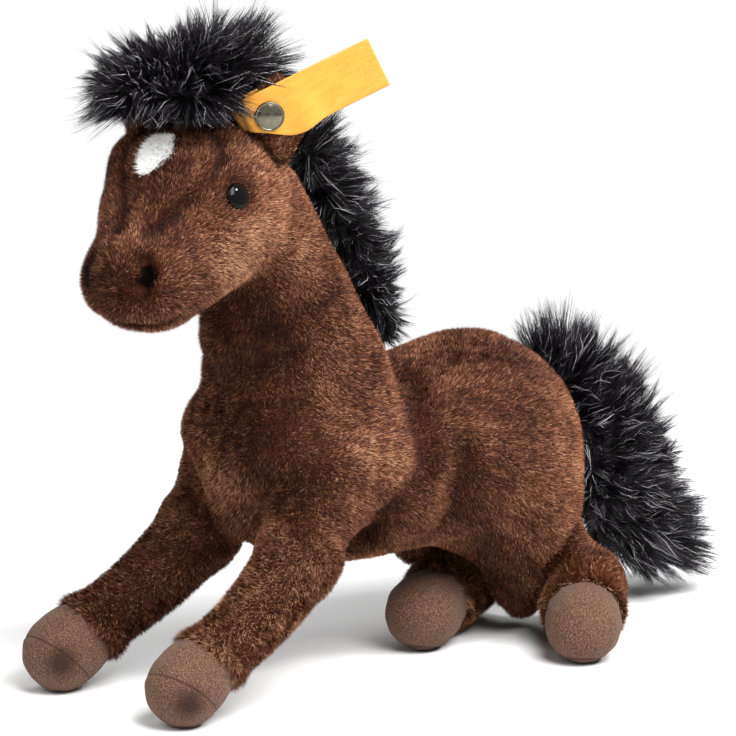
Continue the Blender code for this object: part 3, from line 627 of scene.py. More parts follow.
# %% Swellings
BROW = np.array((-0.0135, -0.1600, 0.1840))     # its own mirror image, so its height counts twice
BELOW_BELLY = np.array((-0.0060, 0.0, 0.0))
GROIN = np.array((0.0120, -0.0160))
GROIN_REACH = 0.016
GROIN_LEVEL = 0.0125    # what hangs lower than this is pressed up
GROIN_PRESS = 0.6
SWELLS = (  # middle and direction of the mirror, reach, height, place
    (MIDDLE, LEFT, 0.018, 0.0014, (0.0330, -0.0920, 0.0760)),
    (MIDDLE, LEFT, 0.014, 0.0019, (0.0000, -0.1300, 0.1156)),
    (MIDDLE, LEFT, 0.013, -0.0026, (0.0150, -0.0880, 0.1510)),
    (MIDDLE, LEFT, 0.013, -0.0022, (0.0160, -0.0765, 0.1300)),
    (MIDDLE, LEFT, 0.011, -0.0018, (0.0140, -0.1000, 0.1690)),
    (MIDDLE, LEFT, 0.013, 0.0022, (-0.0190, -0.1240, 0.0970)),
    (MIDDLE, LEFT, 0.012, 0.0013, (-0.0200, -0.1235, 0.0840)),
    (MIDDLE, LEFT, 0.020, -0.0038, (0.0335, 0.0005, 0.0500)),
    (MIDDLE, LEFT, 0.012, -0.0036, (0.0200, -0.0120, 0.0060)),
    (BELOW_BELLY, LEFT, 0.009, -0.0018, (-0.0060, -0.0090, 0.0080)),
    (HEAD_MIDDLE, HEAD_LEFT, 0.010, 0.0010, (0.0105, -0.1815, 0.1608)),
    (BROW, HEAD_LEFT, 0.012, 0.0018, tuple(BROW)),
    (HEAD_MIDDLE, HEAD_LEFT, 0.018, 0.0015, (0.0210, -0.1892, 0.1460)),
    (HEAD_MIDDLE, HEAD_LEFT, 0.012, -0.0008, (0.0180, -0.1780, 0.1300)),
)
skin_places = points_of(body_skin)
lifts, _ = creased(skin_places)
lifts *= -1
for middle, across, reach, height, place in SWELLS:
    for side in (place, mirrored([place], middle, across)[0]):
        lifts += height * spot_share(skin_places, side, reach)
skin_places += normals_of(body_skin) * lifts[:, None]
groin = spot_share(skin_places[:, :2], GROIN, GROIN_REACH)
skin_places[:, 2] += GROIN_PRESS * groin * np.maximum(GROIN_LEVEL - skin_places[:, 2], 0)
moved_to(body_skin, skin_places)
print("swellings:", len(SWELLS), "on each side")

# %% [markdown]
# ## Pile
#
# Plush is a woven ground with thousands of cut fibres. Each fibre bundle is one slim triangle
# here, rooted on the skin, laid the way the pile lies and lifted off it. Random numbers with a
# fixed seed scatter the roots, and a sum of waves bends neighbouring fibres together, which gives
# the soft tufts. The fibres carry a map of two numbers: how far along the fibre a point is, and
# how light its tone is. The material turns the two into colour. Blender's own hair could be used
# too, but what is exported has to be a plain mesh, and a mesh made at once stays exact.

# %% Fibre meshes


def fibre_mesh(name, places, map_places, normals, faces):
    """A mesh of fibres with its map and normals. Places come as fibres, corners, numbers."""
    mesh = bpy.data.meshes.new(name)
    count, each = places.shape[:2]
    corners = (np.arange(count)[:, None, None] * each + faces[None]).reshape(-1)
    mesh.vertices.add(count * each)
    mesh.vertices.foreach_set("co", places.astype(np.float32).ravel())
    mesh.loops.add(len(corners))
    mesh.loops.foreach_set("vertex_index", corners.astype(np.int32))
    mesh.polygons.add(len(corners) // 3)
    mesh.polygons.foreach_set("loop_start", np.arange(0, len(corners), 3, dtype=np.int32))
    mesh.update(calc_edges=True)
    layer = mesh.uv_layers.new(name="OFBake")
    layer.uv.foreach_set("vector", map_places.reshape(-1, 2)[corners].astype(np.float32).ravel())
    kept = mesh.attributes.new("custom_normal", "FLOAT_VECTOR", "POINT")
    kept.data.foreach_set("vector", normals.astype(np.float32).ravel())
    thing = bpy.data.objects.new(name, mesh)
    bpy.context.scene.collection.objects.link(thing)
    return thing


print("fibre meshes ready")

# %% Short fibres
TONE_HALF = 0.004       # half the width of a fibre on its map
TONE_ENDS = (0.02, 0.98)    # the darkest and the lightest tone
MAP_ROOT, MAP_TIP = 0.02, 0.98      # how far along a fibre its two ends are on the map
ROOT_DEPTH = 0.0002     # how far under the skin a fibre starts
JUST_OFF_FLOOR = 0.0002
STRAY = 0.32            # how far single fibres stray from the way that the pile lies
RISE_SPREAD = 0.26      # how unevenly they lean, in radians
TWIST_SPREAD = 0.5
WIDTHS = (0.7, 1.3)     # the narrowest and the widest, in shares of the usual width
LENGTHS = (0.75, 1.2)
SHADE_UP, SHADE_FACE = 0.65, 0.6    # shared out between the skin's normal and the fibre's own


def short_fibres(name, roots, up, lie, length, width, lift, tone, random):
    """One triangle for each fibre. It lies along the pile and leans up from the skin."""
    count = len(roots)
    lie = lie + random.normal(0, STRAY, lie.shape)
    lie = unit(lie - (lie * up).sum(axis=1, keepdims=True) * up)
    rise = lift + random.normal(0, RISE_SPREAD, count)
    along = lie * np.cos(rise)[:, None] + up * np.sin(rise)[:, None]
    side = np.cross(along, up)
    twist = random.normal(0, TWIST_SPREAD, count)[:, None]
    flat = np.cross(side, along)
    side = unit(side * np.cos(twist) + flat * np.sin(twist))
    half = (width * random.uniform(*WIDTHS, count) / 2)[:, None]
    reach = (length * random.uniform(*LENGTHS, count))[:, None]
    base = roots - up * ROOT_DEPTH
    tips = base + along * reach
    tips[:, 2] = np.maximum(tips[:, 2], JUST_OFF_FLOOR)
    places = np.stack([base - side * half, base + side * half, tips], axis=1)
    face = unit(np.cross(places[:, 1] - places[:, 0], places[:, 2] - places[:, 0]))
    flipped = (face * up).sum(axis=1) < 0
    places[flipped] = places[flipped][:, [1, 0, 2]]
    face[flipped] *= -1
    shade = unit(up * SHADE_UP + face * SHADE_FACE)
    normals = np.repeat(shade[:, None, :], 3, axis=1)
    tone = np.clip(tone, *TONE_ENDS)
    maps = np.stack([np.stack([np.full(count, far), tone + shift], axis=1) for far, shift in (
        (MAP_ROOT, -TONE_HALF), (MAP_ROOT, TONE_HALF), (MAP_TIP, 0))], axis=1)
    return fibre_mesh(name, places, maps, normals, np.array([[0, 1, 2]]))


print("short fibres ready")

# %% Long fibres
LONG_PARTS = 2          # how many parts a long fibre bends in
TIP_NARROWING = 0.88    # how much of its width it loses towards its tip


def long_fibres(name, roots, middles, tips, width, tone, random):
    """A tapering ribbon for each fibre, on a curve from its root past its middle to its tip."""
    count = len(roots)
    steps = np.linspace(0, 1, LONG_PARTS + 1)
    one, two, three = ((1 - steps) ** 2, 2 * steps * (1 - steps), steps ** 2)
    path = (roots[:, None] * one[None, :, None] + middles[:, None] * two[None, :, None]
            + tips[:, None] * three[None, :, None])
    side = unit(np.cross(tips - roots, random.normal(size=(count, 3))))
    half = (width / 2)[:, None] * (1 - steps * TIP_NARROWING)[None]
    offset = side[:, None] * half[:, :, None]
    places = np.stack([path - offset, path + offset], axis=2).reshape(count, -1, 3)
    faces = []
    for step in range(LONG_PARTS):
        faces += [[2 * step, 2 * step + 1, 2 * step + 3], [2 * step, 2 * step + 3, 2 * step + 2]]
    face = unit(np.cross(side, tips - roots))
    normals = np.repeat(face[:, None, :], places.shape[1], axis=1)
    tone = np.clip(tone, *TONE_ENDS)
    maps = np.empty((count, 2 * LONG_PARTS + 2, 2))
    maps[:, :, 0] = np.repeat(steps * (MAP_TIP - MAP_ROOT) + MAP_ROOT, 2)[None]
    maps[:, :, 1] = tone[:, None] + np.tile([-TONE_HALF, TONE_HALF], LONG_PARTS + 1)[None]
    return fibre_mesh(name, places, maps, normals, np.array(faces))


print("long fibres ready")

# %% [markdown]
# ## Cloth colours
#
# All pile shares one kind of material. The map's first number darkens the root of a fibre, as
# light reaches it less, and the second picks its tone. The grounds under the pile are darker than
# the pile; under the brown pile that is painted shade deep among the fibres. The velour of the
# hooves gets its grain from fine noise in object space. Painted images would do as well, but they
# would need an unwrapped skin, and they blur in a close view.

# %% Helpers for materials


def linear(colour):
    """sRGB numbers from 0 to 255 as linear light, with nothing let through."""
    light = [value / 255 for value in colour]
    light = [value / 12.92 if value <= 0.04045 else ((value + 0.055) / 1.055) ** 2.4
             for value in light]
    return (*light, 1)


def material_of(name, roughness, sheen=0.0, metallic=0.0, specular=0.2):
    """A new material with its Principled shader, its tree, and plain values set on the shader."""
    made = bpy.data.materials.new(name)
    made.use_nodes = True
    shader = made.node_tree.nodes["Principled BSDF"]
    shader.inputs["Roughness"].default_value = roughness
    shader.inputs["Sheen Weight"].default_value = sheen
    shader.inputs["Metallic"].default_value = metallic
    shader.inputs["Specular IOR Level"].default_value = specular
    return made, shader, made.node_tree


def ramp(tree, source, stops):
    """A colour ramp through the given stops of place and colour, colours as they look in sRGB."""
    made = node(tree, "ShaderNodeValToRGB")
    elements = made.color_ramp.elements
    while len(elements) < len(stops):
        elements.new(0.5)
    for element, (place, colour) in zip(elements, stops):
        element.position = place
        element.color = linear(colour)
    tree.links.new(source, made.inputs["Fac"])
    return made.outputs["Color"]


def mixed_colour(tree, share, one, two, blend="MIX"):
    """One colour where the share is 0 and the other, or both blended, where it is 1."""
    mix = node(tree, "ShaderNodeMix", data_type="RGBA", blend_type=blend)
    for source, name in ((share, "Factor"), (one, "A"), (two, "B")):
        socket = next(each for each in mix.inputs if each.name == name and each.enabled)
        if isinstance(source, bpy.types.NodeSocket):
            tree.links.new(source, socket)
        else:
            socket.default_value = source
    return next(each for each in mix.outputs if each.enabled)


def near_share(tree, distance, near, far, most):
    """A share that is at its most up to a distance, and falls smoothly to 0 at another."""
    made = node(tree, "ShaderNodeMapRange", interpolation_type="SMOOTHSTEP")
    for socket, value in (("From Min", near), ("From Max", far), ("To Min", most), ("To Max", 0)):
        made.inputs[socket].default_value = value
    tree.links.new(distance, made.inputs["Value"])
    return made.outputs["Result"]


def sprayed(tree, base, spot, near, far, colour, most=1.0):
    """A colour with a soft round spot of another on it."""
    away = node(tree, "ShaderNodeVectorMath", operation="DISTANCE")
    away.inputs[1].default_value = tuple(spot)
    tree.links.new(node(tree, "ShaderNodeTexCoord").outputs["Object"], away.inputs[0])
    share = near_share(tree, away.outputs["Value"], near, far, most)
    return mixed_colour(tree, share, base, linear(colour))


def bumped(tree, shader, height, strength, distance):
    """Bump from a height."""
    bump = node(tree, "ShaderNodeBump", Strength=strength, Distance=distance)
    linked(tree, (height, bump.inputs["Height"]), (bump.outputs["Normal"], shader.inputs["Normal"]))


print("material helpers ready")

# %% Pile materials
STAR_GLOW = 0.11        # white pile passes light from fibre to fibre, which triangles cannot
# The nostrils' own dark spray, deepened as painted shade in their hollows.
NOSTRIL_SPRAY = (0.0032, 0.0044)    # where a nostril's spray starts to fade, and where it ends
NOSTRIL_DARK = (9, 6, 6)
# Darker than the pile, as painted shade deep among its fibres.
BROWN_GROUND = (64, 34, 24)
BLACK_GROUND = (12, 10, 13)


def pile_material(name, tones, root_shade, roughness, specular):
    """Pile, whose tone ramp is darkened towards the root."""
    made, shader, tree = material_of(name, roughness, specular=specular)
    place = node(tree, "ShaderNodeUVMap", uv_map="OFBake")
    parts = node(tree, "ShaderNodeSeparateXYZ")
    tree.links.new(place.outputs["UV"], parts.inputs[0])
    tone = ramp(tree, parts.outputs["Y"], tones)
    shade = ramp(tree, parts.outputs["X"], ((0.0, (root_shade,) * 3), (0.75, (255,) * 3)))
    tree.links.new(mixed_colour(tree, 1, tone, shade, "MULTIPLY"), shader.inputs["Base Color"])
    return made, shader


chestnut_pile, _ = pile_material(
    "chestnut_pile",
    ((0.0, (14, 8, 7)), (0.25, (53, 28, 21)), (0.5, (103, 59, 41)), (0.75, (158, 103, 72)),
     (1.0, (215, 168, 131))),
    130, 0.65, 0.08)
# The top of the long pile's ramp is near white: it colours the painted glints.
black_pile, _ = pile_material(
    "black_pile",
    ((0.0, (8, 6, 8)), (0.4, (20, 17, 21)), (0.75, (52, 47, 55)), (1.0, (228, 226, 232))),
    70, 0.42, 0.20)
white_pile, shader = pile_material(
    "white_star_pile", ((0.0, (228, 229, 227)), (1.0, (254, 254, 252))), 250, 0.6, 0.2)
shader.inputs["Emission Color"].default_value = (1, 1, 1, 1)
shader.inputs["Emission Strength"].default_value = STAR_GLOW

chestnut_ground, shader, tree = material_of("chestnut_ground", 0.9, specular=0.0)
ground = linear(BROWN_GROUND)
for nostril in NOSTRILS:
    ground = sprayed(tree, ground, nostril, *NOSTRIL_SPRAY, NOSTRIL_DARK)
tree.links.new(ground, shader.inputs["Base Color"])
black_ground, shader, tree = material_of("black_ground", 0.9)
shader.inputs["Base Color"].default_value = linear(BLACK_GROUND)
print("pile materials ready")

# %% Velour
SOLE_DARKENING_REACH = (0.0010, 0.0084)   # where the darkening round a sole's middle starts to fade, and where it ends
SOLE_DARK = (38, 24, 20)
SOLE_SHARE = 0.85
SEAM_SHADE = (0.00010, 0.00060)     # the same for the shade beside a seam
SEAM_DARK = (46, 29, 23)
SEAM_SHARE = 0.70


def velour_material(name, sole, seam_way, seam_level):
    """Taupe velour with grain, darker round the middle of its sole, and a darker seam."""
    made, shader, tree = material_of(name, 0.92, sheen=0.06, specular=0.1)
    place = node(tree, "ShaderNodeTexCoord").outputs["Object"]
    grain = node(tree, "ShaderNodeTexNoise", Scale=4600.0, Detail=1.0)
    patches = node(tree, "ShaderNodeTexNoise", Scale=2500.0, Detail=2.0)
    both = node(tree, "ShaderNodeMath", operation="ADD")
    scaled = node(tree, "ShaderNodeMath", operation="MULTIPLY")
    scaled.inputs[1].default_value = 0.5
    linked(tree, (place, grain.inputs["Vector"]), (place, patches.inputs["Vector"]),
           (grain.outputs["Fac"], both.inputs[0]), (patches.outputs["Fac"], both.inputs[1]),
           (both.outputs[0], scaled.inputs[0]))
    fur = ramp(tree, scaled.outputs[0],
               ((0.38, (50, 33, 26)), (0.50, (82, 57, 45)), (0.62, (132, 100, 81))))
    fur = sprayed(tree, fur, sole, *SOLE_DARKENING_REACH, SOLE_DARK, SOLE_SHARE)
    along = node(tree, "ShaderNodeVectorMath", operation="DOT_PRODUCT")
    along.inputs[1].default_value = tuple(seam_way)
    level = node(tree, "ShaderNodeMath", operation="SUBTRACT")
    level.inputs[1].default_value = float(seam_level)
    size = node(tree, "ShaderNodeMath", operation="ABSOLUTE")
    linked(tree, (place, along.inputs[0]), (along.outputs["Value"], level.inputs[0]),
           (level.outputs[0], size.inputs[0]))
    seam = near_share(tree, size.outputs[0], *SEAM_SHADE, SEAM_SHARE)
    fur = mixed_colour(tree, seam, fur, linear(SEAM_DARK))
    tree.links.new(fur, shader.inputs["Base Color"])
    bumped(tree, shader, both.outputs[0], 0.55, 0.0004)
    return made


print("velour ready")

# %% [markdown]
# ## Colours of eye, ribbon and button
#
# The eye is plain black plastic, so smooth that it mirrors the lamps as small clear spots. The
# ribbon's weave is two sets of waves across each other, one for the ribs and one for the picks,
# with worn patches over them. It could be modelled thread by thread, but at this size only its
# soft grid is seen. The button is brushed steel, so one fine noise changes both its colour and
# how rough it is.

# %% Eye, ribbon and steel
eye_black, shader, tree = material_of("eye_black", 0.03, specular=0.10)
shader.inputs["Base Color"].default_value = linear((5, 4, 4))

ribbon_yellow, shader, tree = material_of("ribbon_yellow", 0.55, sheen=0.1)
across = node(tree, "ShaderNodeUVMap", uv_map="weave")
ribs = node(tree, "ShaderNodeTexWave", bands_direction="X", Scale=42.0, Distortion=0.15)
picks = node(tree, "ShaderNodeTexWave", bands_direction="Y", Scale=14.0, Distortion=0.15)
patches = node(tree, "ShaderNodeTexNoise", Scale=9.0, Detail=5.0)
weave_height = node(tree, "ShaderNodeMath", operation="MULTIPLY")
linked(tree,
       (across.outputs["UV"], ribs.inputs["Vector"]),
       (across.outputs["UV"], picks.inputs["Vector"]),
       (across.outputs["UV"], patches.inputs["Vector"]),
       (ribs.outputs["Fac"], weave_height.inputs[0]),
       (picks.outputs["Fac"], weave_height.inputs[1]))
threads = ramp(tree, weave_height.outputs[0], ((0.0, (190, 124, 44)), (0.6, (209, 147, 56))))
worn = ramp(tree, patches.outputs["Fac"], ((0.3, (195, 131, 47)), (0.7, (213, 152, 63))))
tree.links.new(mixed_colour(tree, 0.6, threads, worn), shader.inputs["Base Color"])
bumped(tree, shader, weave_height.outputs[0], 0.35, 0.00012)

button_steel, shader, tree = material_of("button_steel", 0.20, metallic=1.0)
place = node(tree, "ShaderNodeTexCoord").outputs["Object"]
brushed = node(tree, "ShaderNodeTexNoise", Scale=900.0, Detail=4.0)
tree.links.new(place, brushed.inputs["Vector"])
steel = ramp(tree, brushed.outputs["Fac"], ((0.3, (84, 80, 68)), (0.7, (104, 100, 87))))
rough = ramp(tree, brushed.outputs["Fac"], ((0.3, (96, 96, 96)), (0.7, (120, 120, 120))))
linked(tree, (steel, shader.inputs["Base Color"]), (rough, shader.inputs["Roughness"]))
bumped(tree, shader, brushed.outputs["Fac"], 0.06, 0.0001)
print("eye, ribbon and steel ready")

# %% [markdown]
# ## Short pile on the body
#
# The pile lies down and back on the neck and the torso, and back from the muzzle on the head.
# Its tone changes with soft waves of three sizes, and from fibre to fibre. Where another piece
# covers the skin, no pile grows. Hair particles could be combed the same way, but they would have
# to be turned into a mesh in the end, and numbers for the way the pile lies are easy to change.

# %% Directions
HEAD_AHEAD = np.array((0.3422, -0.8470, -0.4067))
DOWN_TRUNK = np.array((0.0, 0.8, -0.6))
DOWN_NECK = np.array((0.1, 0.35, -1.0))
MUZZLE_AHEAD = 0.010    # the pile of the head starts from a point this far ahead of it
HEAD_NEAR, HEAD_FAR = 0.032, 0.044  # how far from its middle line the head's pile gives way
NECK_LEVELS = (0.085, 0.12)
head_points = cad_points("head_skin")
muzzle = head_points[(head_points @ HEAD_AHEAD).argmax()] + HEAD_AHEAD * MUZZLE_AHEAD


def body_lie(places):
    """The way the pile lies at places on the body."""
    from_muzzle = unit(places - muzzle)
    head = smooth(-line_distance(places, (HEAD_MIDDLE, muzzle)), -HEAD_FAR, -HEAD_NEAR)
    neck = smooth(places[:, 2], *NECK_LEVELS)
    trunk = DOWN_TRUNK * (1 - neck)[:, None] + DOWN_NECK * neck[:, None]
    return unit(trunk * (1 - head)[:, None] + from_muzzle * head[:, None])


BEND_LENGTH = 0.006     # the pile bends in tufts of two sizes
FINE_LENGTH = 0.0022
BEND = 0.35             # how far the large ones bend, and the small ones
FINE_BEND = BEND * 1.3


def waves_of_three(places, length, seed):
    """A soft random direction at each place."""
    return np.stack([waves(places, length, seed + k) for k in range(3)], axis=1)


def tufted(lie, places, seed):
    """Turns the way of the pile a little from place to place."""
    bend = waves_of_three(places, BEND_LENGTH, seed)
    fine = waves_of_three(places, FINE_LENGTH, seed + 3)
    return lie + bend * BEND + fine * FINE_BEND


print("the pile of the head starts at", muzzle.round(3).tolist())

# %% Tones and covers
TONE_WAVES = ((0.08, 0.018), (0.07, 0.0050), (0.12, 0.0014))    # how strong and how long
TONE_SEED = 31
TONE_SPREAD = 0.21      # how much single fibres differ
TONE_LIMITS = (0.10, 0.98)


def toned(places, random, middle):
    """How light each fibre is."""
    tone = middle + random.normal(0, TONE_SPREAD, len(places))
    for seed, (strength, length) in enumerate(TONE_WAVES, TONE_SEED):
        tone += strength * waves(places, length, seed)
    return np.clip(tone, *TONE_LIMITS)


def covered_by(places, names, margin):
    """Which places lie inside a CAD solid grown by a margin, or shrunk where that is negative."""
    inside = np.zeros(len(places), bool)
    for name in names:
        form = bmesh.new()
        form.from_mesh(nodes[name].data)
        tree = BVHTree.FromBMesh(form)
        low, high = (np.array(corner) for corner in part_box(name))
        near = np.all((places > low - abs(margin)) & (places < high + abs(margin)), axis=1)
        for index in np.nonzero(near)[0]:
            point, normal, _, distance = tree.find_nearest(places[index])
            outward = (Vector(places[index]) - point).dot(normal)
            inside[index] |= math.copysign(distance, outward) < margin
        form.free()
    return inside


print("tones and covers ready")

# %% Painted light and shade on the pile
PAINTED_LIGHT_AND_SHADE = (  # painted light where the change is positive, painted shade where negative: place, reach, change of tone
    ((0.0326, -0.1442, 0.1563), 0.015, 0.40),
    ((0.0205, -0.1130, 0.1582), 0.016, 0.08),
    ((0.0150, -0.1640, 0.1720), 0.014, -0.15),
    ((0.0133, -0.1825, 0.1608), 0.010, -0.08),
    ((0.0150, -0.1920, 0.1480), 0.013, -0.08),
    ((0.0130, -0.1238, 0.1223), 0.014, -0.30),
    ((0.0060, -0.1350, 0.0900), 0.020, -0.20),
    ((0.0230, -0.1270, 0.0770), 0.018, -0.20),
    ((0.0001, -0.1299, 0.0744), 0.012, 0.32),
    ((0.0091, -0.1249, 0.0652), 0.009, 0.12),
    ((0.0355, -0.0890, 0.0800), 0.015, 0.15),
    ((0.0252, -0.1044, 0.1115), 0.016, 0.05),
    ((0.0160, -0.0240, 0.1000), 0.022, -0.13),
    ((0.0350, -0.0100, 0.0560), 0.020, 0.10),
    ((0.0340, -0.0500, 0.0480), 0.013, -0.12),
    ((0.0360, -0.0400, 0.0640), 0.011, -0.10),
    ((0.0330, 0.0060, 0.0380), 0.013, -0.16),
    ((0.0203, -0.0347, 0.0389), 0.013, -0.12),
    ((0.0110, -0.0170, 0.0200), 0.016, -0.22),
)
print("strokes:", len(PAINTED_LIGHT_AND_SHADE))

# %% Body pile
DENSITY = 12.0   # fibres on a square millimetre
FIBRE_LENGTH = 0.0019
FIBRE_WIDTH = 0.00023
LIFT = 1.15             # how steeply the pile stands, in radians
TUFTS_COVER = 0.0030    # how far inside a tuft's solid the pile under it ends
CREASE_SHORTENING = 0.6
CREASE_SHADE_LEVELS = (0.2, 0.7)   # how much painted shade creases have where the shortening starts and where it ends
BARE_CREASE = 1.0       # a crease with this much painted shade, as in a nostril, has no pile
HEAD_LEVEL = 0.135      # the pile is split here into pieces of a handy size
NECK_BACK = -0.085
BODY_TONE = 0.45
BODY_SEED, BODY_TUFTS = 11, 51

random = np.random.default_rng(BODY_SEED)
skin_points = points_of(body_skin)
hidden = covered_by(skin_points, ["mane", "forelock", "tail"], -TUFTS_COVER)
hidden |= covered_by(skin_points, [body + "_skin" for body in LEG_BODIES], -PILE_HEIGHT)
roots, up = rooted(body_skin, DENSITY, (~hidden).astype(float), random)
lie = tufted(body_lie(roots), roots, BODY_TUFTS)
_, crease_shades = creased(roots)
# The creases darken the pile as painted shade.
tone = toned(roots, random, BODY_TONE) - crease_shades
# Spots of painted light and painted shade on the pile.
for place, reach, change in PAINTED_LIGHT_AND_SHADE:
    tone += change * spot_share(roots, place, reach)
left_zone = roots[:, 0] >= 0
head_zone = roots[:, 2] > HEAD_LEVEL
neck_zone = ~head_zone & (roots[:, 1] < NECK_BACK)
flank_zone = ~head_zone & ~neck_zone
print("body pile:", len(roots), "fibres")

# %% Body pile by zones
for name, chosen in (
        ("head_pile", head_zone & (crease_shades < BARE_CREASE)),
        ("neck_pile_left", neck_zone & left_zone),
        ("neck_pile_right", neck_zone & ~left_zone),
        ("flank_pile_left", flank_zone & left_zone),
        ("flank_pile_right", flank_zone & ~left_zone)):
    lengths = FIBRE_LENGTH * (1 - CREASE_SHORTENING * smooth(crease_shades[chosen], *CREASE_SHADE_LEVELS))
    made = short_fibres(name, roots[chosen], up[chosen], lie[chosen], lengths, FIBRE_WIDTH, LIFT,
                        tone[chosen], random)
    made.data.materials.append(chestnut_pile)
    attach(made, "body")
    print(name, chosen.sum(), "fibres")
body_skin.data.materials.append(chestnut_ground)
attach(body_skin, "body")
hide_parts(*BODY_NODES)

# %% [markdown]
# ## Short pile on the legs
#
# On a leg the pile lies down towards the hoof. It is longer on the cuff, and on the rim that faces
# the hoof it turns inwards, which hides where the velour goes in. Each leg's tone is painted light
# on the front left and the hind legs and painted shade on the front right, and the rim round a
# hind hoof gets more painted light. The body's pile could run on over the legs, but then it would
# tear when a leg swings, so each leg gets its own and carries it along.

# %% Leg pile
# Painted light on the front left and hind legs, painted shade on the front right.
LEG_PAINTED_LIGHT_TONES = {"front_left_leg": 0.63, "front_right_leg": 0.39,
             "hind_left_leg": 0.71, "hind_right_leg": 0.72}
RIM_PAINTED_LIGHT = {"front": -0.04, "hind": 0.48}      # painted light on the rim round a hind hoof, and a little painted shade on a front one
RIM_FACING = (0.45, 0.85)   # from where on a skin that faces down the leg counts as the rim
UNDER_CUFF = 0.0006     # pile this near to a hoof is left out
LEG_LENGTHENING = 1.1   # how long the pile of a leg is, in shares of the body's
CUFF_LENGTHENING = 0.8  # and what is added to that on the cuff
CUFF_LAYING = 0.45      # how much lower it lies there, in radians
LEG_SEED, LEG_TUFTS = 100, 71
for body in LEG_BODIES:
    random = np.random.default_rng(LEG_SEED + LEG_BODIES.index(body))
    skin = leg_skins[body]
    root, down_leg, cuff_end = leg_axis(body)
    roots, up = rooted(skin, DENSITY, np.ones(len(skin.data.vertices)), random)
    seen = ~covered_by(roots, [body.replace("_leg", "_hoof")], UNDER_CUFF)
    roots, up = roots[seen], up[seen]
    cuff = smooth((roots - root) @ down_leg, cuff_end - CUFF_REACH, cuff_end)
    rim = smooth(up @ down_leg, *RIM_FACING)
    inward = unit(root - roots + down_leg * ((roots - root) @ down_leg)[:, None])
    lie = tufted(np.tile(down_leg, (len(roots), 1)), roots, LEG_TUFTS)
    lie = lie * (1 - rim)[:, None] + inward * rim[:, None]
    # The leg's tone and the rim's carry painted light and shade.
    tone = toned(roots, random, LEG_PAINTED_LIGHT_TONES[body]) + RIM_PAINTED_LIGHT[body.split("_")[0]] * rim
    lengths = FIBRE_LENGTH * (LEG_LENGTHENING + CUFF_LENGTHENING * cuff)
    lift = LIFT - CUFF_LAYING * cuff * (1 - rim)
    made = short_fibres(body + "_pile", roots, up, lie, lengths, FIBRE_WIDTH, lift, tone, random)
    made.data.materials.append(chestnut_pile)
    skin.data.materials.append(chestnut_ground)
    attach(made, body)
    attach(skin, body)
    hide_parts(body + "_skin", body + "_filling")
    print(body, len(roots), "fibres")

# %% [markdown]
# ## Hooves
#
# Each hoof is a round cap of short velour, stuffed with the leg. A copy of the imported cap and of
# the stuffing is remeshed, cut off just inside the cuff, and smoothed. A seam runs round it where
# the sole is sewn on, and the sole is softly darker round its middle. Velour this short needs no
# fibres of its own: the grain in its material is enough.

# %% Seams and soles
LEFT_FRONT_SEAM = ((0.0144, -0.1742, 0.0157), (0.0346, -0.1729, 0.0177), (0.0346, -0.1588, 0.0051))
LEFT_FRONT_SOLE = (0.0350, -0.1720, 0.0103)
RIGHT_FRONT_SOLE = (-0.0263, -0.1752, 0.0125)
HIND_SEAM_LEVEL = 0.0120
HIND_SOLE = np.array((0.004, 0.0, -0.0135))     # from the hoof's middle: down the leg, across, over


def hoof_frame(body):
    """A hoof's middle, and the directions down the leg, across it and over it."""
    middle = middle_of(body.replace("_leg", "_hoof"))
    down = unit((middle - np.array(joints[body]["pos_m"]))[None])[0]
    across = unit(np.cross(down, (0, 0, 1))[None])[0]
    return middle, np.array((down, across, np.cross(across, down)))


def seam_of(body):
    """The way through the plane of a hoof's seam, and how far along it the plane is."""
    middle, axes = hoof_frame(body)
    if body.startswith("hind"):
        normal, level = unit(HIND_SOLE[None])[0], HIND_SEAM_LEVEL
    else:
        front_middle, front_axes = hoof_frame("front_left_leg")
        one, two, three = (np.array(LEFT_FRONT_SEAM) - front_middle) @ front_axes.T
        normal = unit(np.cross(two - one, three - one)[None])[0]
        level = one @ normal
    way = axes.T @ normal
    return way, level + middle @ way


def sole_of(body):
    """The middle of a hoof's sole."""
    if body == "front_left_leg":
        return np.array(LEFT_FRONT_SOLE)
    if body == "front_right_leg":
        return np.array(RIGHT_FRONT_SOLE)
    middle, axes = hoof_frame(body)
    return middle + axes.T @ HIND_SOLE


for body in LEG_BODIES:
    print(body, "sole at", sole_of(body).round(4).tolist())

# %% Hooves
HOOF_VOXEL = 0.0010
HOOF_SMOOTHING = 12
HOOF_UNDER_CUFF = 0.0030
SEAM_DEPTH = 0.00030
SEAM_HALF = 0.00045


def cut_off(thing, place, way):
    """Cuts off what lies behind a plane, and closes the cut."""
    active(thing)
    bpy.ops.object.mode_set(mode="EDIT")
    bpy.ops.mesh.select_all(action="SELECT")
    bpy.ops.mesh.bisect(plane_co=tuple(place), plane_no=tuple(way), use_fill=True,
                        clear_inner=True)
    bpy.ops.object.mode_set(mode="OBJECT")


for body in LEG_BODIES:
    name = body.replace("_leg", "_hoof")
    middle, (down, _, _) = hoof_frame(body)
    hoof = copy_of([name, body + "_filling"], name + "_velour")
    grown(hoof, SWELL)
    remeshed(hoof, HOOF_VOXEL)
    smoothed(hoof, HOOF_SMOOTHING)
    back = ((cad_points(name) - middle) @ down).min() - HOOF_UNDER_CUFF
    cut_off(hoof, middle + down * back, down)
    way, level = seam_of(body)
    places = points_of(hoof)
    gap = np.abs(places @ way - level)
    places -= normals_of(hoof) * (SEAM_DEPTH * np.exp(-(gap / SEAM_HALF) ** 2))[:, None]
    places[:, 2] = np.maximum(places[:, 2], JUST_OFF_FLOOR)
    moved_to(hoof, places)
    hoof.data.shade_smooth()
    hoof.data.materials.append(velour_material(name + "_velour", sole_of(body), way, level))
    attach(hoof, body)
    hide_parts(name)
    print(name, len(hoof.data.vertices), "vertices")

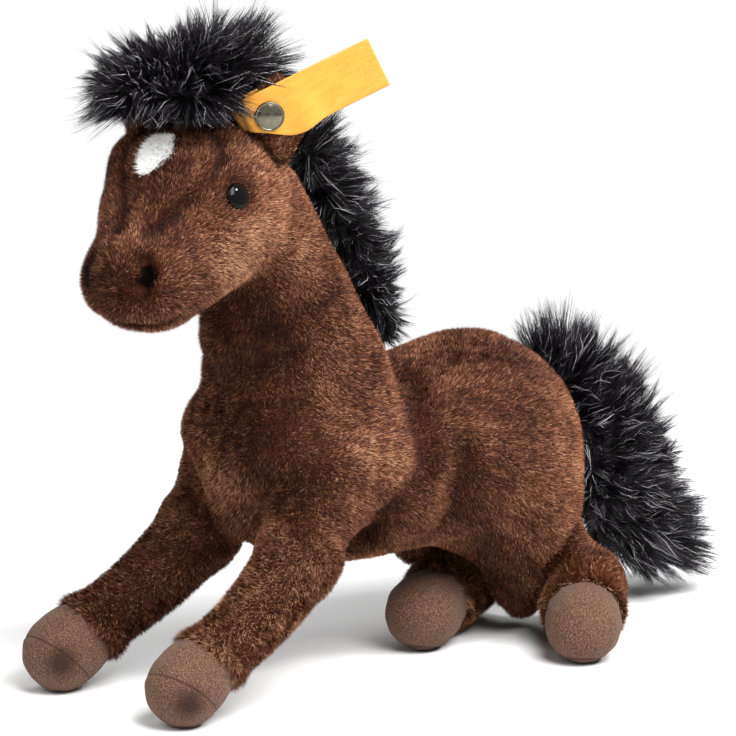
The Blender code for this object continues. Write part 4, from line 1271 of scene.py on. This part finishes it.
# %% [markdown]
# ## Eyes
#
# The eyes are glossy black domes on shanks, pulled into the pile by the washers behind them. Each
# is an outline turned round its own axis, as on a lathe. A scaled ball would be quicker, but the
# rolled edge of a moulded dome wouldn't show.

# %% Eyes
EYES = {  # place on the head, the way that the eye looks, and how deep it is pulled in
    "left": ((0.03268, -0.14771, 0.17305), (0.9306, 0.0119, 0.3657), 0.0020),
    "right": ((-0.01310, -0.16625, 0.17305), (-0.6854, -0.6250, 0.3736), 0.0022),
}
EYE_RADIUS = 0.0043
EYE_STEPS = 40          # how many faces go round an eye
EYE_OUTLINE = (  # heights along its axis and radii, in shares of the eye's radius
    (-0.9, 0.55), (-0.5, 0.86), (-0.2, 0.97), (0.0, 1.0), (0.09, 0.985), (0.18, 0.93),
    (0.25, 0.84), (0.305, 0.72), (0.345, 0.56), (0.375, 0.38), (0.39, 0.19), (0.395, 0.0))


def turned(name, middle, axis, outline, steps):
    """A form turned about an axis from heights along it and radii, closed where the radius is 0."""
    axis = Vector(axis).normalized()
    side = axis.orthogonal().normalized()
    form = bmesh.new()
    points = [Vector(middle) + axis * height + side * radius for height, radius in outline]
    made = [form.verts.new(point) for point in points]
    edges = [form.edges.new(pair) for pair in zip(made[:-1], made[1:])]
    bmesh.ops.spin(form, geom=made + edges, cent=Vector(middle), axis=axis, angle=math.tau,
                   steps=steps, use_merge=False)
    bmesh.ops.remove_doubles(form, verts=form.verts, dist=MERGE)
    bmesh.ops.holes_fill(form, edges=[edge for edge in form.edges if edge.is_boundary])
    bmesh.ops.recalc_face_normals(form, faces=form.faces)
    thing = object_from(form, name)
    thing.data.shade_smooth()
    return thing


for side, (place, look, sunk) in EYES.items():
    outline = [(height * EYE_RADIUS - sunk, radius * EYE_RADIUS) for height, radius in EYE_OUTLINE]
    eye = turned(side + "_eye_dome", place, look, outline, EYE_STEPS)
    eye.data.materials.append(eye_black)
    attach(eye, "body")
    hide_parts(side + "_eye", side + "_eye_washer")
print("eyes ready")

# %% [markdown]
# ## Star
#
# The star is a patch of longer white pile, set into the forehead as a leaning teardrop. Its fibres
# are sampled on the body's skin inside that outline, so they follow the head's form with no seam.
# A patch cut out of cloth would show an edge, which the real one has not. Its fibres were brushed
# upwards and over, and the ground under them is pale as well.

# %% Star outline
STAR_PLACE = np.array((0.0080, -0.1622, 0.1862))
STAR_UP = unit(np.array([[-0.0045, 0.0196, 0.0104]]))[0]
STAR_ACROSS = unit(np.array([[0.91, 0.36, -0.18]]))[0]
STAR_LONG = 0.0079
STAR_WIDE = 0.0047
STAR_TAPER = 0.25       # how much narrower the star is at its foot
STAR_DEEP = 0.01        # skin further from the star's plane than this is another side's
OUTSIDE = 9
NEAR_STAR = 1.5         # roots are looked for up to this share


def star_share(places):
    """0 in the middle of the star and 1 on its outline, which is narrower at its foot."""
    high = (places - STAR_PLACE) @ STAR_UP
    across = (places - STAR_PLACE) @ STAR_ACROSS
    wide = STAR_WIDE * (1 + STAR_TAPER * np.clip(high / STAR_LONG, -1, 1))
    far = np.abs((places - STAR_PLACE) @ np.cross(STAR_UP, STAR_ACROSS))
    return np.hypot(high / STAR_LONG, across / wide) + (far > STAR_DEEP) * OUTSIDE


near_star = (star_share(points_of(body_skin)) < NEAR_STAR).astype(float)
print("star:", int(near_star.sum()), "vertices of the skin are near it")

# %% Star pile
STAR_DENSITY = 34
STAR_FIBRE_LENGTH = 0.0036
STAR_FIBRE_WIDTH = 0.00034
STAR_LIFT = 0.65
STAR_RAGGED = 0.10      # how much its outline wanders
STAR_RAGGED_LENGTH = 0.003
STAR_FOOT = 0.03        # the fibres spread from this far below the star
STAR_STROKE = (0.41, -0.04, 0.57)   # the way that the star's pile was brushed
STAR_BACKING = (0.0045, 0.0065)     # where its pale ground starts to fade, and where it ends
STAR_GROUND = (236, 236, 232)
STAR_TONE = 0.75
STAR_TONE_CHANGE = 0.15     # how much its tone changes from place to place
STAR_TONE_LENGTH = 0.002
STAR_TONE_SPREAD = 0.2      # and from fibre to fibre
STAR_SEED, STAR_EDGE_WAVES, STAR_TONE_WAVES = 5, 61, 62

random = np.random.default_rng(STAR_SEED)
roots, up = rooted(body_skin, STAR_DENSITY, near_star, random)
edge = star_share(roots) + STAR_RAGGED * waves(roots, STAR_RAGGED_LENGTH, STAR_EDGE_WAVES)
roots, up = roots[edge < 1], unit(up[edge < 1] + np.array(STAR_STROKE))
lie = unit(roots - STAR_PLACE - STAR_UP * STAR_FOOT)
tone = STAR_TONE + STAR_TONE_CHANGE * waves(roots, STAR_TONE_LENGTH, STAR_TONE_WAVES)
tone += random.normal(0, STAR_TONE_SPREAD, len(roots))
star = short_fibres("star_pile", roots, up, lie, np.full(len(roots), STAR_FIBRE_LENGTH),
                    STAR_FIBRE_WIDTH, STAR_LIFT, tone, random)
star.data.materials.append(white_pile)
tree = chestnut_ground.node_tree
skin_colour = tree.nodes["Principled BSDF"].inputs["Base Color"]
backed = sprayed(tree, skin_colour.links[0].from_socket, STAR_PLACE, *STAR_BACKING, STAR_GROUND)
tree.links.new(backed, skin_colour)
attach(star, "body")
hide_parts("star_patch")
print("star:", len(roots), "fibres")

# %% [markdown]
# ## Ears
#
# An ear is an upright leaf of plush with a velour lining, pinched where it is sewn to the head.
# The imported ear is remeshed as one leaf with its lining, drawn in at the foot, and its tip is
# pressed down by the long pile above it. A plane made thick and bent would give a leaf too, but
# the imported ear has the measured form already. Its short pile lies upwards along the leaf. Where
# the ribbon and the button cover it, none grows.

# %% Ear values
EARS = {  # root, the level line across the ear, and the way that it opens
    "left": ((0.02472, -0.12566, 0.18191), (0.54464, 0.83867, 0.0), (0.83867, -0.54464, 0.0)),
    "right": ((-0.02271, -0.14484, 0.18190), (0.97437, -0.22495, 0.0), (-0.22495, -0.97437, 0.0)),
}
EAR_VOXEL = 0.0008
EAR_SMOOTHING = 6
EAR_PINCH = 0.45        # how much narrower an ear is at its foot
PINCH_LEVELS = (0.0, 0.011)     # above the root
EAR_TUCK = 0.0060       # how far the long pile pushes the tip of an ear down
TUCK_LEVELS = (0.010, 0.036)
EAR_DENSITY = DENSITY * 1.3
EAR_FIBRE_LENGTH = 0.0016
EAR_LIFT = 0.7
EAR_TONE = 0.47
EAR_LIE = (0.0, 0.0, 1.0)
EAR_SEED, EAR_TUFTS = 300, 81
UNDER_RIBBON = 0.0008   # pile this near to the ribbon is left out


def ear_leaf(side):
    """The leaf of an ear, pinched at its foot and pressed down at its tip."""
    root, across, _ = (np.array(part) for part in EARS[side])
    ear = copy_of([side + "_ear_outer", side + "_ear_lining"], side + "_ear_plush")
    grown(ear, SWELL)
    remeshed(ear, EAR_VOXEL)
    smoothed(ear, EAR_SMOOTHING)
    places = points_of(ear)
    high = places[:, 2] - root[2]
    narrowing = EAR_PINCH * (1 - smooth(high, *PINCH_LEVELS))
    places -= across * (((places - root) @ across) * narrowing)[:, None]
    places[:, 2] -= EAR_TUCK * smooth(high, *TUCK_LEVELS)
    moved_to(ear, places)
    ear.data.shade_smooth()
    return ear


print("ears open towards", {side: EARS[side][2] for side in EARS})

# %% Ears
for side in EARS:
    body = side + "_ear"
    ear = ear_leaf(side)
    ear.data.materials.append(chestnut_ground)
    random = np.random.default_rng(EAR_SEED + len(side))
    roots, up = rooted(ear, EAR_DENSITY, np.ones(len(ear.data.vertices)), random)
    seen = ~covered_by(roots, ["ear_ribbon", "ear_button"], UNDER_RIBBON)
    roots, up = roots[seen], up[seen]
    lie = tufted(np.tile(EAR_LIE, (len(roots), 1)), roots, EAR_TUFTS)
    made = short_fibres(body + "_pile", roots, up, lie, np.full(len(roots), EAR_FIBRE_LENGTH),
                        FIBRE_WIDTH, EAR_LIFT, toned(roots, random, EAR_TONE), random)
    made.data.materials.append(chestnut_pile)
    for piece in (ear, made):
        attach(piece, body)
    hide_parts(body + "_outer", body + "_lining")
    print(body, len(roots), "fibres")

# %% [markdown]
# ## Ribbon
#
# The ribbon is one woven strip, folded round the ear's front edge and held by the button. It is a
# grid of points along its path, made thick at the end, so its flat size is exactly what the path
# unrolls to. A cloth simulation would drape it too, but the button's pinch is a bulge and a dip
# that can be measured in the photograph, so they are put in as numbers.

# %% Ribbon path
RIBBON_WIDTH = 0.0170
RIBBON_THICKNESS = 0.0005
RIBBON_REACH = 0.0389   # from the button to the free end
RIBBON_FOLD = 0.0050    # from the button to the fold round the ear's front edge
RIBBON_TURN_BACK = 0.0055   # from behind the button to the hidden end
RIBBON_RISE = math.radians(25.5)
RIBBON_LEVEL = 0.0026   # how far each side of the strip lies off the ear's middle
RIBBON_BULGE = 0.0013   # beside the button the strip stands off the ear
BULGE_SPOT = (0.0105, 0.0048)   # how far from the button, and how long
BULGE_MIDDLE, BULGE_TILT = 0.45, 0.55   # how much of it the middle has, and the lower edge more
RIBBON_DIP = 0.0012     # and its lower edge is drawn down
DIP_SPOT = (0.0080, 0.0050)
RIBBON_CURL = 0.0016    # the free end bends away from the ear
CURL_START = 0.012
CURL_TILT = 0.6         # how much more its upper corner does
RIBBON_GATHER = 0.0062  # how far the lower edge is drawn up at the fold
GATHER_START = 0.0100   # this far before the fold
BUTTON = Vector((0.02298, -0.12835, 0.19515))
_, level, opening = (Vector(part) for part in EARS["left"])
heading = level * math.cos(RIBBON_RISE) + Vector((0, 0, 1)) * math.sin(RIBBON_RISE)
ribbon_across = opening.cross(heading)
half_turn = math.pi * RIBBON_LEVEL
flag = RIBBON_REACH + RIBBON_FOLD
ribbon_length = flag + half_turn + RIBBON_FOLD + RIBBON_TURN_BACK


def bell(far, middle, reach):
    """1 at a distance along the ribbon, falling to 0 on both sides of it."""
    return math.exp(-((far - middle) / reach) ** 2)


def ribbon_point(along, share):
    """A point of the ribbon, from its free end, at a share from -1 to 1 across it."""
    drawn = RIBBON_GATHER * float(smooth(along, flag - GATHER_START, flag + half_turn / 2))
    high = share * RIBBON_WIDTH / 2 + drawn * (1 - share) / 2
    if along < flag:
        far = RIBBON_REACH - along
        bulge = RIBBON_BULGE * bell(far, *BULGE_SPOT) * (BULGE_MIDDLE - BULGE_TILT * share)
        curl = RIBBON_CURL * (max(far - CURL_START, 0) / RIBBON_REACH) ** 2
        curl *= 1 + CURL_TILT * share
        high -= RIBBON_DIP * bell(far, *DIP_SPOT) * max(-share, 0)
        off = RIBBON_LEVEL + bulge + curl
        return BUTTON + heading * far + opening * off + ribbon_across * high
    turn = (along - flag) / RIBBON_LEVEL
    if turn < math.pi:
        facing = opening * math.cos(turn) - heading * math.sin(turn)
        return BUTTON - heading * RIBBON_FOLD + facing * RIBBON_LEVEL + ribbon_across * high
    back = along - flag - half_turn - RIBBON_FOLD
    return BUTTON + heading * (back - RIBBON_FOLD) - opening * RIBBON_LEVEL + ribbon_across * high


print("ribbon:", round(ribbon_length, 4), "long, rising", math.degrees(RIBBON_RISE), "degrees")

# %% Ribbon
RIBBON_STEPS = 96       # along it
RIBBON_ROWS = 24        # across it

form = bmesh.new()
grid = [[form.verts.new(ribbon_point(ribbon_length * step / RIBBON_STEPS,
                                     2 * row / RIBBON_ROWS - 1))
         for row in range(RIBBON_ROWS + 1)] for step in range(RIBBON_STEPS + 1)]
weave = form.loops.layers.uv.new("weave")
for step in range(RIBBON_STEPS):
    for row in range(RIBBON_ROWS):
        corners = ((step, row), (step + 1, row), (step + 1, row + 1), (step, row + 1))
        face = form.faces.new([grid[a][b] for a, b in corners])
        for loop, (a, b) in zip(face.loops, corners):
            loop[weave].uv = (a / RIBBON_STEPS, b / RIBBON_ROWS)
ribbon = object_from(form, "ribbon")
applied(ribbon, "SOLIDIFY", thickness=RIBBON_THICKNESS, offset=0)
ribbon.data.shade_smooth()
ribbon.data.materials.append(ribbon_yellow)
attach(ribbon, "left_ear")
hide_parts("ear_ribbon")
print("ribbon flat size:", RIBBON_WIDTH, round(ribbon_length, 4))

# %% [markdown]
# ## Button
#
# The button is a pressed metal dome with a rolled rim, on a rivet with a washer behind the ear.
# It is turned from its outline like the eyes, so the hollow inside the rim catches a ring of light.
# A bevelled disc would be simpler, but its rim would not roll back under itself.

# %% Button
BUTTON_RADIUS = 0.0048
BUTTON_STEPS = 64
BUTTON_OUTLINE = (  # heights above the ribbon and radii, in shares of the button's radius
    (0.02, 0.30), (0.02, 0.90), (0.05, 0.97), (0.12, 1.00), (0.20, 0.99), (0.25, 0.955),
    (0.26, 0.92), (0.24, 0.885), (0.22, 0.86), (0.235, 0.82), (0.29, 0.70), (0.335, 0.52),
    (0.36, 0.32), (0.372, 0.14), (0.375, 0.0))
WASHER_RADIUS = 0.0034
WASHER_THICKNESS = 0.0006
WASHER_ROUNDING = 0.0004
WASHER_EDGE = 0.0001
RIVET_RADIUS = 0.0010
ribbon_face = RIBBON_LEVEL + RIBBON_THICKNESS / 2
outline = [  # the washer behind the ear, and the rivet to the dome
    (-ribbon_face - WASHER_THICKNESS, 0.0),
    (-ribbon_face - WASHER_THICKNESS, WASHER_RADIUS - WASHER_ROUNDING),
    (-ribbon_face - WASHER_EDGE, WASHER_RADIUS), (-ribbon_face, RIVET_RADIUS)]
outline += [(ribbon_face + height * BUTTON_RADIUS, radius * BUTTON_RADIUS)
            for height, radius in BUTTON_OUTLINE]
button = turned("button", BUTTON, opening, outline, BUTTON_STEPS)
button.data.materials.append(button_steel)
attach(button, "left_ear")
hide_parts("ear_button", "ear_button_washer")
print("button ready")

# %% [markdown]
# ## Long pile
#
# Mane, forelock and tail are tufts of long black pile. Each has a dark ground inside, and long
# ribbons that start on it. Ribbons near one another lean together into locks, so the outline
# breaks into points. A hair system would comb and clump them in the same way, but its strands
# would have to be turned into a mesh, and their number could not be held as well.

# %% Grounds of the tufts
CORE_VOXEL = 0.0018
CORE_SMOOTHING = 5
SHRINKING_STEPS = 4


def core_of(node_name, depth):
    """The ground of a tuft: the CAD solid made smaller, and remeshed as it shrinks."""
    core = copy_of([node_name], node_name + "_ground")
    for _ in range(SHRINKING_STEPS):
        remeshed(core, CORE_VOXEL)
        smoothed(core, CORE_SMOOTHING)
        grown(core, -depth / SHRINKING_STEPS)
    smoothed(core, CORE_SMOOTHING)
    core.data.shade_smooth()
    core.data.materials.append(black_ground)
    return core


print("grounds shrink in", SHRINKING_STEPS, "steps")

# %% [markdown]
# ## How the tufts lie
#
# The mane stands back off the neck, and its lower end hangs. The forelock bursts out of the crown
# on all sides and is longest behind, where it joins the mane. The tail springs away from the rump
# at its root and falls to the floor. Each function gives the way that the fibres head at a place,
# and how long they are there, in shares of the tuft's usual length.

# %% Ways of the tufts
BACK_LEFT = np.array((0.66, 0.75, 0.0))     # to the back and the left of the foal
# Heights in the box of a tuft, and how long its fibres are there.
MANE_LENGTHS = ((0.0, 0.3, 0.6, 0.85, 1.0), (0.60, 0.62, 0.90, 1.15, 1.9))
TAIL_LENGTHS = ((0.05, 0.2, 0.4, 0.65, 0.9), (1.75, 0.85, 0.45, 0.50, 0.95))
# How far fibres head back and up at the foot of a tuft, and how much more at its top.
MANE_BACK, MANE_UP = (0.1, 0.75), (-2.4, 2.5)
TAIL_BACK, TAIL_UP = (1.3, -1.0), (-0.25, 1.2)
MANE_HANGS = (0.0, 0.3)     # the heights between which the mane turns from its foot's way
MANE_CREST = (0.75, 1.0)    # and where it rises once more
TAIL_TURNS = (0.1, 0.9)
# How long the forelock is in front, and how much more behind, then how much shorter on top.
CROWN_SIDES, CROWN_TOP = (0.52, 0.95), (0.28, 0.70)
CROWN_BEHIND, CROWN_OVER = (-0.6, 0.7), (0.3, 0.9)
FRINGE = 0.45               # how much longer it is low down in front
FRINGE_LOW = (0.0, 0.5)
FRINGE_END = 0.6            # and again over the brow
FRINGE_AHEAD, FRINGE_DOWN = (0.5, 0.95), (-0.1, 0.4)


def blended(share, start, more):
    """A value that grows with a share."""
    return start + more * share


def height_in(node_name, places):
    """How high places are in a CAD node's box, from 0 to 1."""
    low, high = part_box(node_name)
    return (places[:, 2] - low.z) / (high.z - low.z)


def off_the_neck(places):
    """Back from the neck, and down at the lower end."""
    height = height_in("mane", places)
    share = smooth(height, *MANE_HANGS)
    rise = blended(share, *MANE_UP) + smooth(height, *MANE_CREST)
    heading = np.stack([np.zeros(len(places)), blended(share, *MANE_BACK), rise], axis=1)
    return heading, np.interp(height, *MANE_LENGTHS)


def round_the_crown(places):
    """Away from the crown's middle, longest behind, and longer low down in front."""
    away = unit(places - middle_of("forelock"))
    behind = smooth(away @ BACK_LEFT, *CROWN_BEHIND)
    shares = blended(behind, *CROWN_SIDES)
    shares = shares - blended(behind, *CROWN_TOP) * smooth(away[:, 2], *CROWN_OVER)
    shares += FRINGE * smooth(-away[:, 2], *FRINGE_LOW) * (1 - behind)
    ahead_low = smooth(-away @ BACK_LEFT, *FRINGE_AHEAD) * smooth(-away[:, 2], *FRINGE_DOWN)
    return away, shares + FRINGE_END * ahead_low


def off_the_tail(places):
    """Away from the rump, up at the root and down at the tip."""
    height = height_in("tail", places)
    share = smooth(height, *TAIL_TURNS)
    heading = np.stack([np.zeros(len(places)), blended(share, *TAIL_BACK),
                        blended(share, *TAIL_UP)], axis=1)
    return heading, np.interp(height, *TAIL_LENGTHS)


print("ways of the tufts ready")

# %% How low the tips hang
FLOOR_ROOM = 0.0012     # the middle of a fibre keeps this far off the floor
TAIL_LOWEST = 0.0040
MANE_LOWEST = 0.090
BROW_LEVEL = 0.1820     # the fringe over the brow ends here
BROW_SLOPE = 0.0120     # and higher by this much on the left
BROW_ACROSS = (-0.021, -0.008)  # where that starts and ends
BEHIND_BROW = 0.0100    # behind the brow the tips hang lower by this much
BROW_BACK = (-0.128, -0.116)


def no_lower(places, node_name):
    """How low the tips may hang: level over the brow, lower behind it, and clear of the floor."""
    if node_name == "tail":
        return np.full(len(places), TAIL_LOWEST)
    if node_name == "mane":
        return np.full(len(places), MANE_LOWEST)
    brow = BROW_LEVEL + BROW_SLOPE * smooth(places[:, 0], *BROW_ACROSS)
    return brow - BEHIND_BROW * smooth(places[:, 1], *BROW_BACK)


print("tips hang down to", (TAIL_LOWEST, MANE_LOWEST, BROW_LEVEL - BEHIND_BROW))

# %% Locks
LENGTH_SPREAD = (0.6, 1.2)
TIP_SPREAD = 0.0013     # how far single tips stray
LOCK_SIZE = 22          # fibres that lean together
LOCK_SPREAD = 0.20      # how far the leaders of the locks stray, in shares of their length
LOCK_REACH = (-0.3, 0.75)   # how much shorter or longer a leader may be
LOCK_WIDTH = 0.15       # how far apart the tips of a lock stay, in shares of the roots' distance
LOCK_PULLS = (0.5, 1.2)     # how unevenly fibres follow their leader


def in_locks(roots, out, length, shares, gather, random):
    """Where tips end when each fibre leans to its nearest leader, and who leads each."""
    reach = length * shares * random.uniform(*LENGTH_SPREAD, len(roots))
    ends = roots + out * reach[:, None] + random.normal(0, TIP_SPREAD, (len(roots), 3))
    leaders = random.choice(len(roots), max(1, len(roots) // LOCK_SIZE), replace=False)
    lock_tree = KDTree(len(leaders))
    for leader in leaders:
        lock_tree.insert(roots[leader], leader)
    lock_tree.balance()
    mine = np.array([lock_tree.find(place)[1] for place in roots])
    strays = random.normal(0, LOCK_SPREAD, (len(leaders), 3))
    ends[leaders] += strays * (length * shares[leaders])[:, None]
    ends[leaders] += out[leaders] * random.uniform(*LOCK_REACH, len(leaders))[:, None] * length
    pull = gather * random.uniform(*LOCK_PULLS, len(roots))[:, None]
    ends = ends * (1 - pull) + (ends[mine] + (roots - roots[mine]) * LOCK_WIDTH) * pull
    return reach, ends, mine


print("locks of", LOCK_SIZE, "fibres")

# %% Tones of the tufts
TUFT_TONES = {"mane": 0.16, "forelock": 0.33, "tail": 0.33}
TUFT_TONE_WAVES = (0.12, 0.008)     # how strong and how long
FIBRE_TONES = 0.10      # how much single fibres differ
LOCK_TONES = 0.16       # how much whole locks differ
FORELOCK_FADE = 0.20    # how much darker the forelock gets from its one side to the other
FORELOCK_LIGHT = 0.08
FORELOCK_HALF = 0.020


def tone_of(node_name, roots, mine, seed, random):
    """How light each long fibre is. The forelock gets darker towards its back left."""
    strength, length = TUFT_TONE_WAVES
    tone = TUFT_TONES[node_name] + strength * waves(roots, length, seed + 9)
    tone += random.normal(0, FIBRE_TONES, len(roots))
    if node_name == "forelock":
        across = (roots - roots.mean(axis=0)) @ BACK_LEFT
        tone -= FORELOCK_FADE * smooth(across, -FORELOCK_HALF, FORELOCK_HALF) - FORELOCK_LIGHT
    return tone + random.normal(0, LOCK_TONES, len(roots))[mine]


print("tones of the tufts:", TUFT_TONES)

# %% Tufts
GLINTS = 0.065          # share of fibres made pale as painted glints
GLINT_TONE = 0.97
GLINT_STRAY = 0.0018    # how far they bend out of line
GLINT_THINNING = 0.3    # how much thinner they are
FUR_WIDTH = 0.00027
FUR_WIDTHS = (0.6, 1.3)
WOBBLE = 0.32           # how far neighbouring fibres bend together
WOBBLE_LENGTH = 0.011
SMALL_WOBBLE = (0.7, 0.005)     # how strong beside the other, and how long
BOW = 0.14              # how much a fibre bows upwards, in shares of its length
RAGGED_ENDS = 0.002     # how unevenly the lowest tips end


def tuft(node_name, core, lie, length, per_square_mm, lean, gather, seed):
    """Long pile on a ground. Lean is how much it follows the lie and not the way out."""
    random = np.random.default_rng(seed)
    roots, up = rooted(core, per_square_mm, np.ones(len(core.data.vertices)), random)
    heading, shares = lie(roots)
    strength, short = SMALL_WOBBLE
    wobble = waves_of_three(roots, WOBBLE_LENGTH, seed)
    wobble += strength * waves_of_three(roots, short, seed + 5)
    out = unit(up * (1 - lean) + heading * lean + wobble * WOBBLE)
    reach, ends, mine = in_locks(roots, out, length, shares, gather, random)
    lowest = no_lower(ends, node_name) + random.uniform(0, RAGGED_ENDS, len(roots))
    ends[:, 2] = np.maximum(ends[:, 2], lowest)
    middles = (roots + ends) / 2 + up * (reach * BOW)[:, None]
    tone = tone_of(node_name, roots, mine, seed, random)
    # Painted glints: a share of the fibres is made pale.
    glints = random.uniform(size=len(roots)) < GLINTS
    tone[glints] = GLINT_TONE
    middles[glints] += random.normal(0, GLINT_STRAY, (glints.sum(), 3))
    middles[:, 2] = np.maximum(middles[:, 2], FLOOR_ROOM)
    width = FUR_WIDTH * random.uniform(*FUR_WIDTHS, len(roots)) * (1 - GLINT_THINNING * glints)
    made = long_fibres(node_name + "_pile", roots, middles, ends, width, tone, random)
    made.data.materials.append(black_pile)
    print(node_name, len(roots), "fibres")
    return made


print("share of glints:", GLINTS)

# %% Mane, forelock and tail
TUFTS = (  # node, depth of its ground, way, length, fibres on a square millimetre, body, seed
    ("mane", 0.0050, off_the_neck, 0.0078, 6.0, "body", 201),
    ("forelock", 0.0080, round_the_crown, 0.0098, 6.0, "body", 202),
    ("tail", 0.0068, off_the_tail, 0.0112, 5.5, "tail", 203))
LEAN = 0.45
GATHER = 0.72           # how closely the tips of a lock lie together
for node_name, depth, lie, length, density, body, seed in TUFTS:
    core = core_of(node_name, depth)
    made = tuft(node_name, core, lie, length, density, LEAN, GATHER, seed)
    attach(core, body)
    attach(made, body)
    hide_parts(node_name)
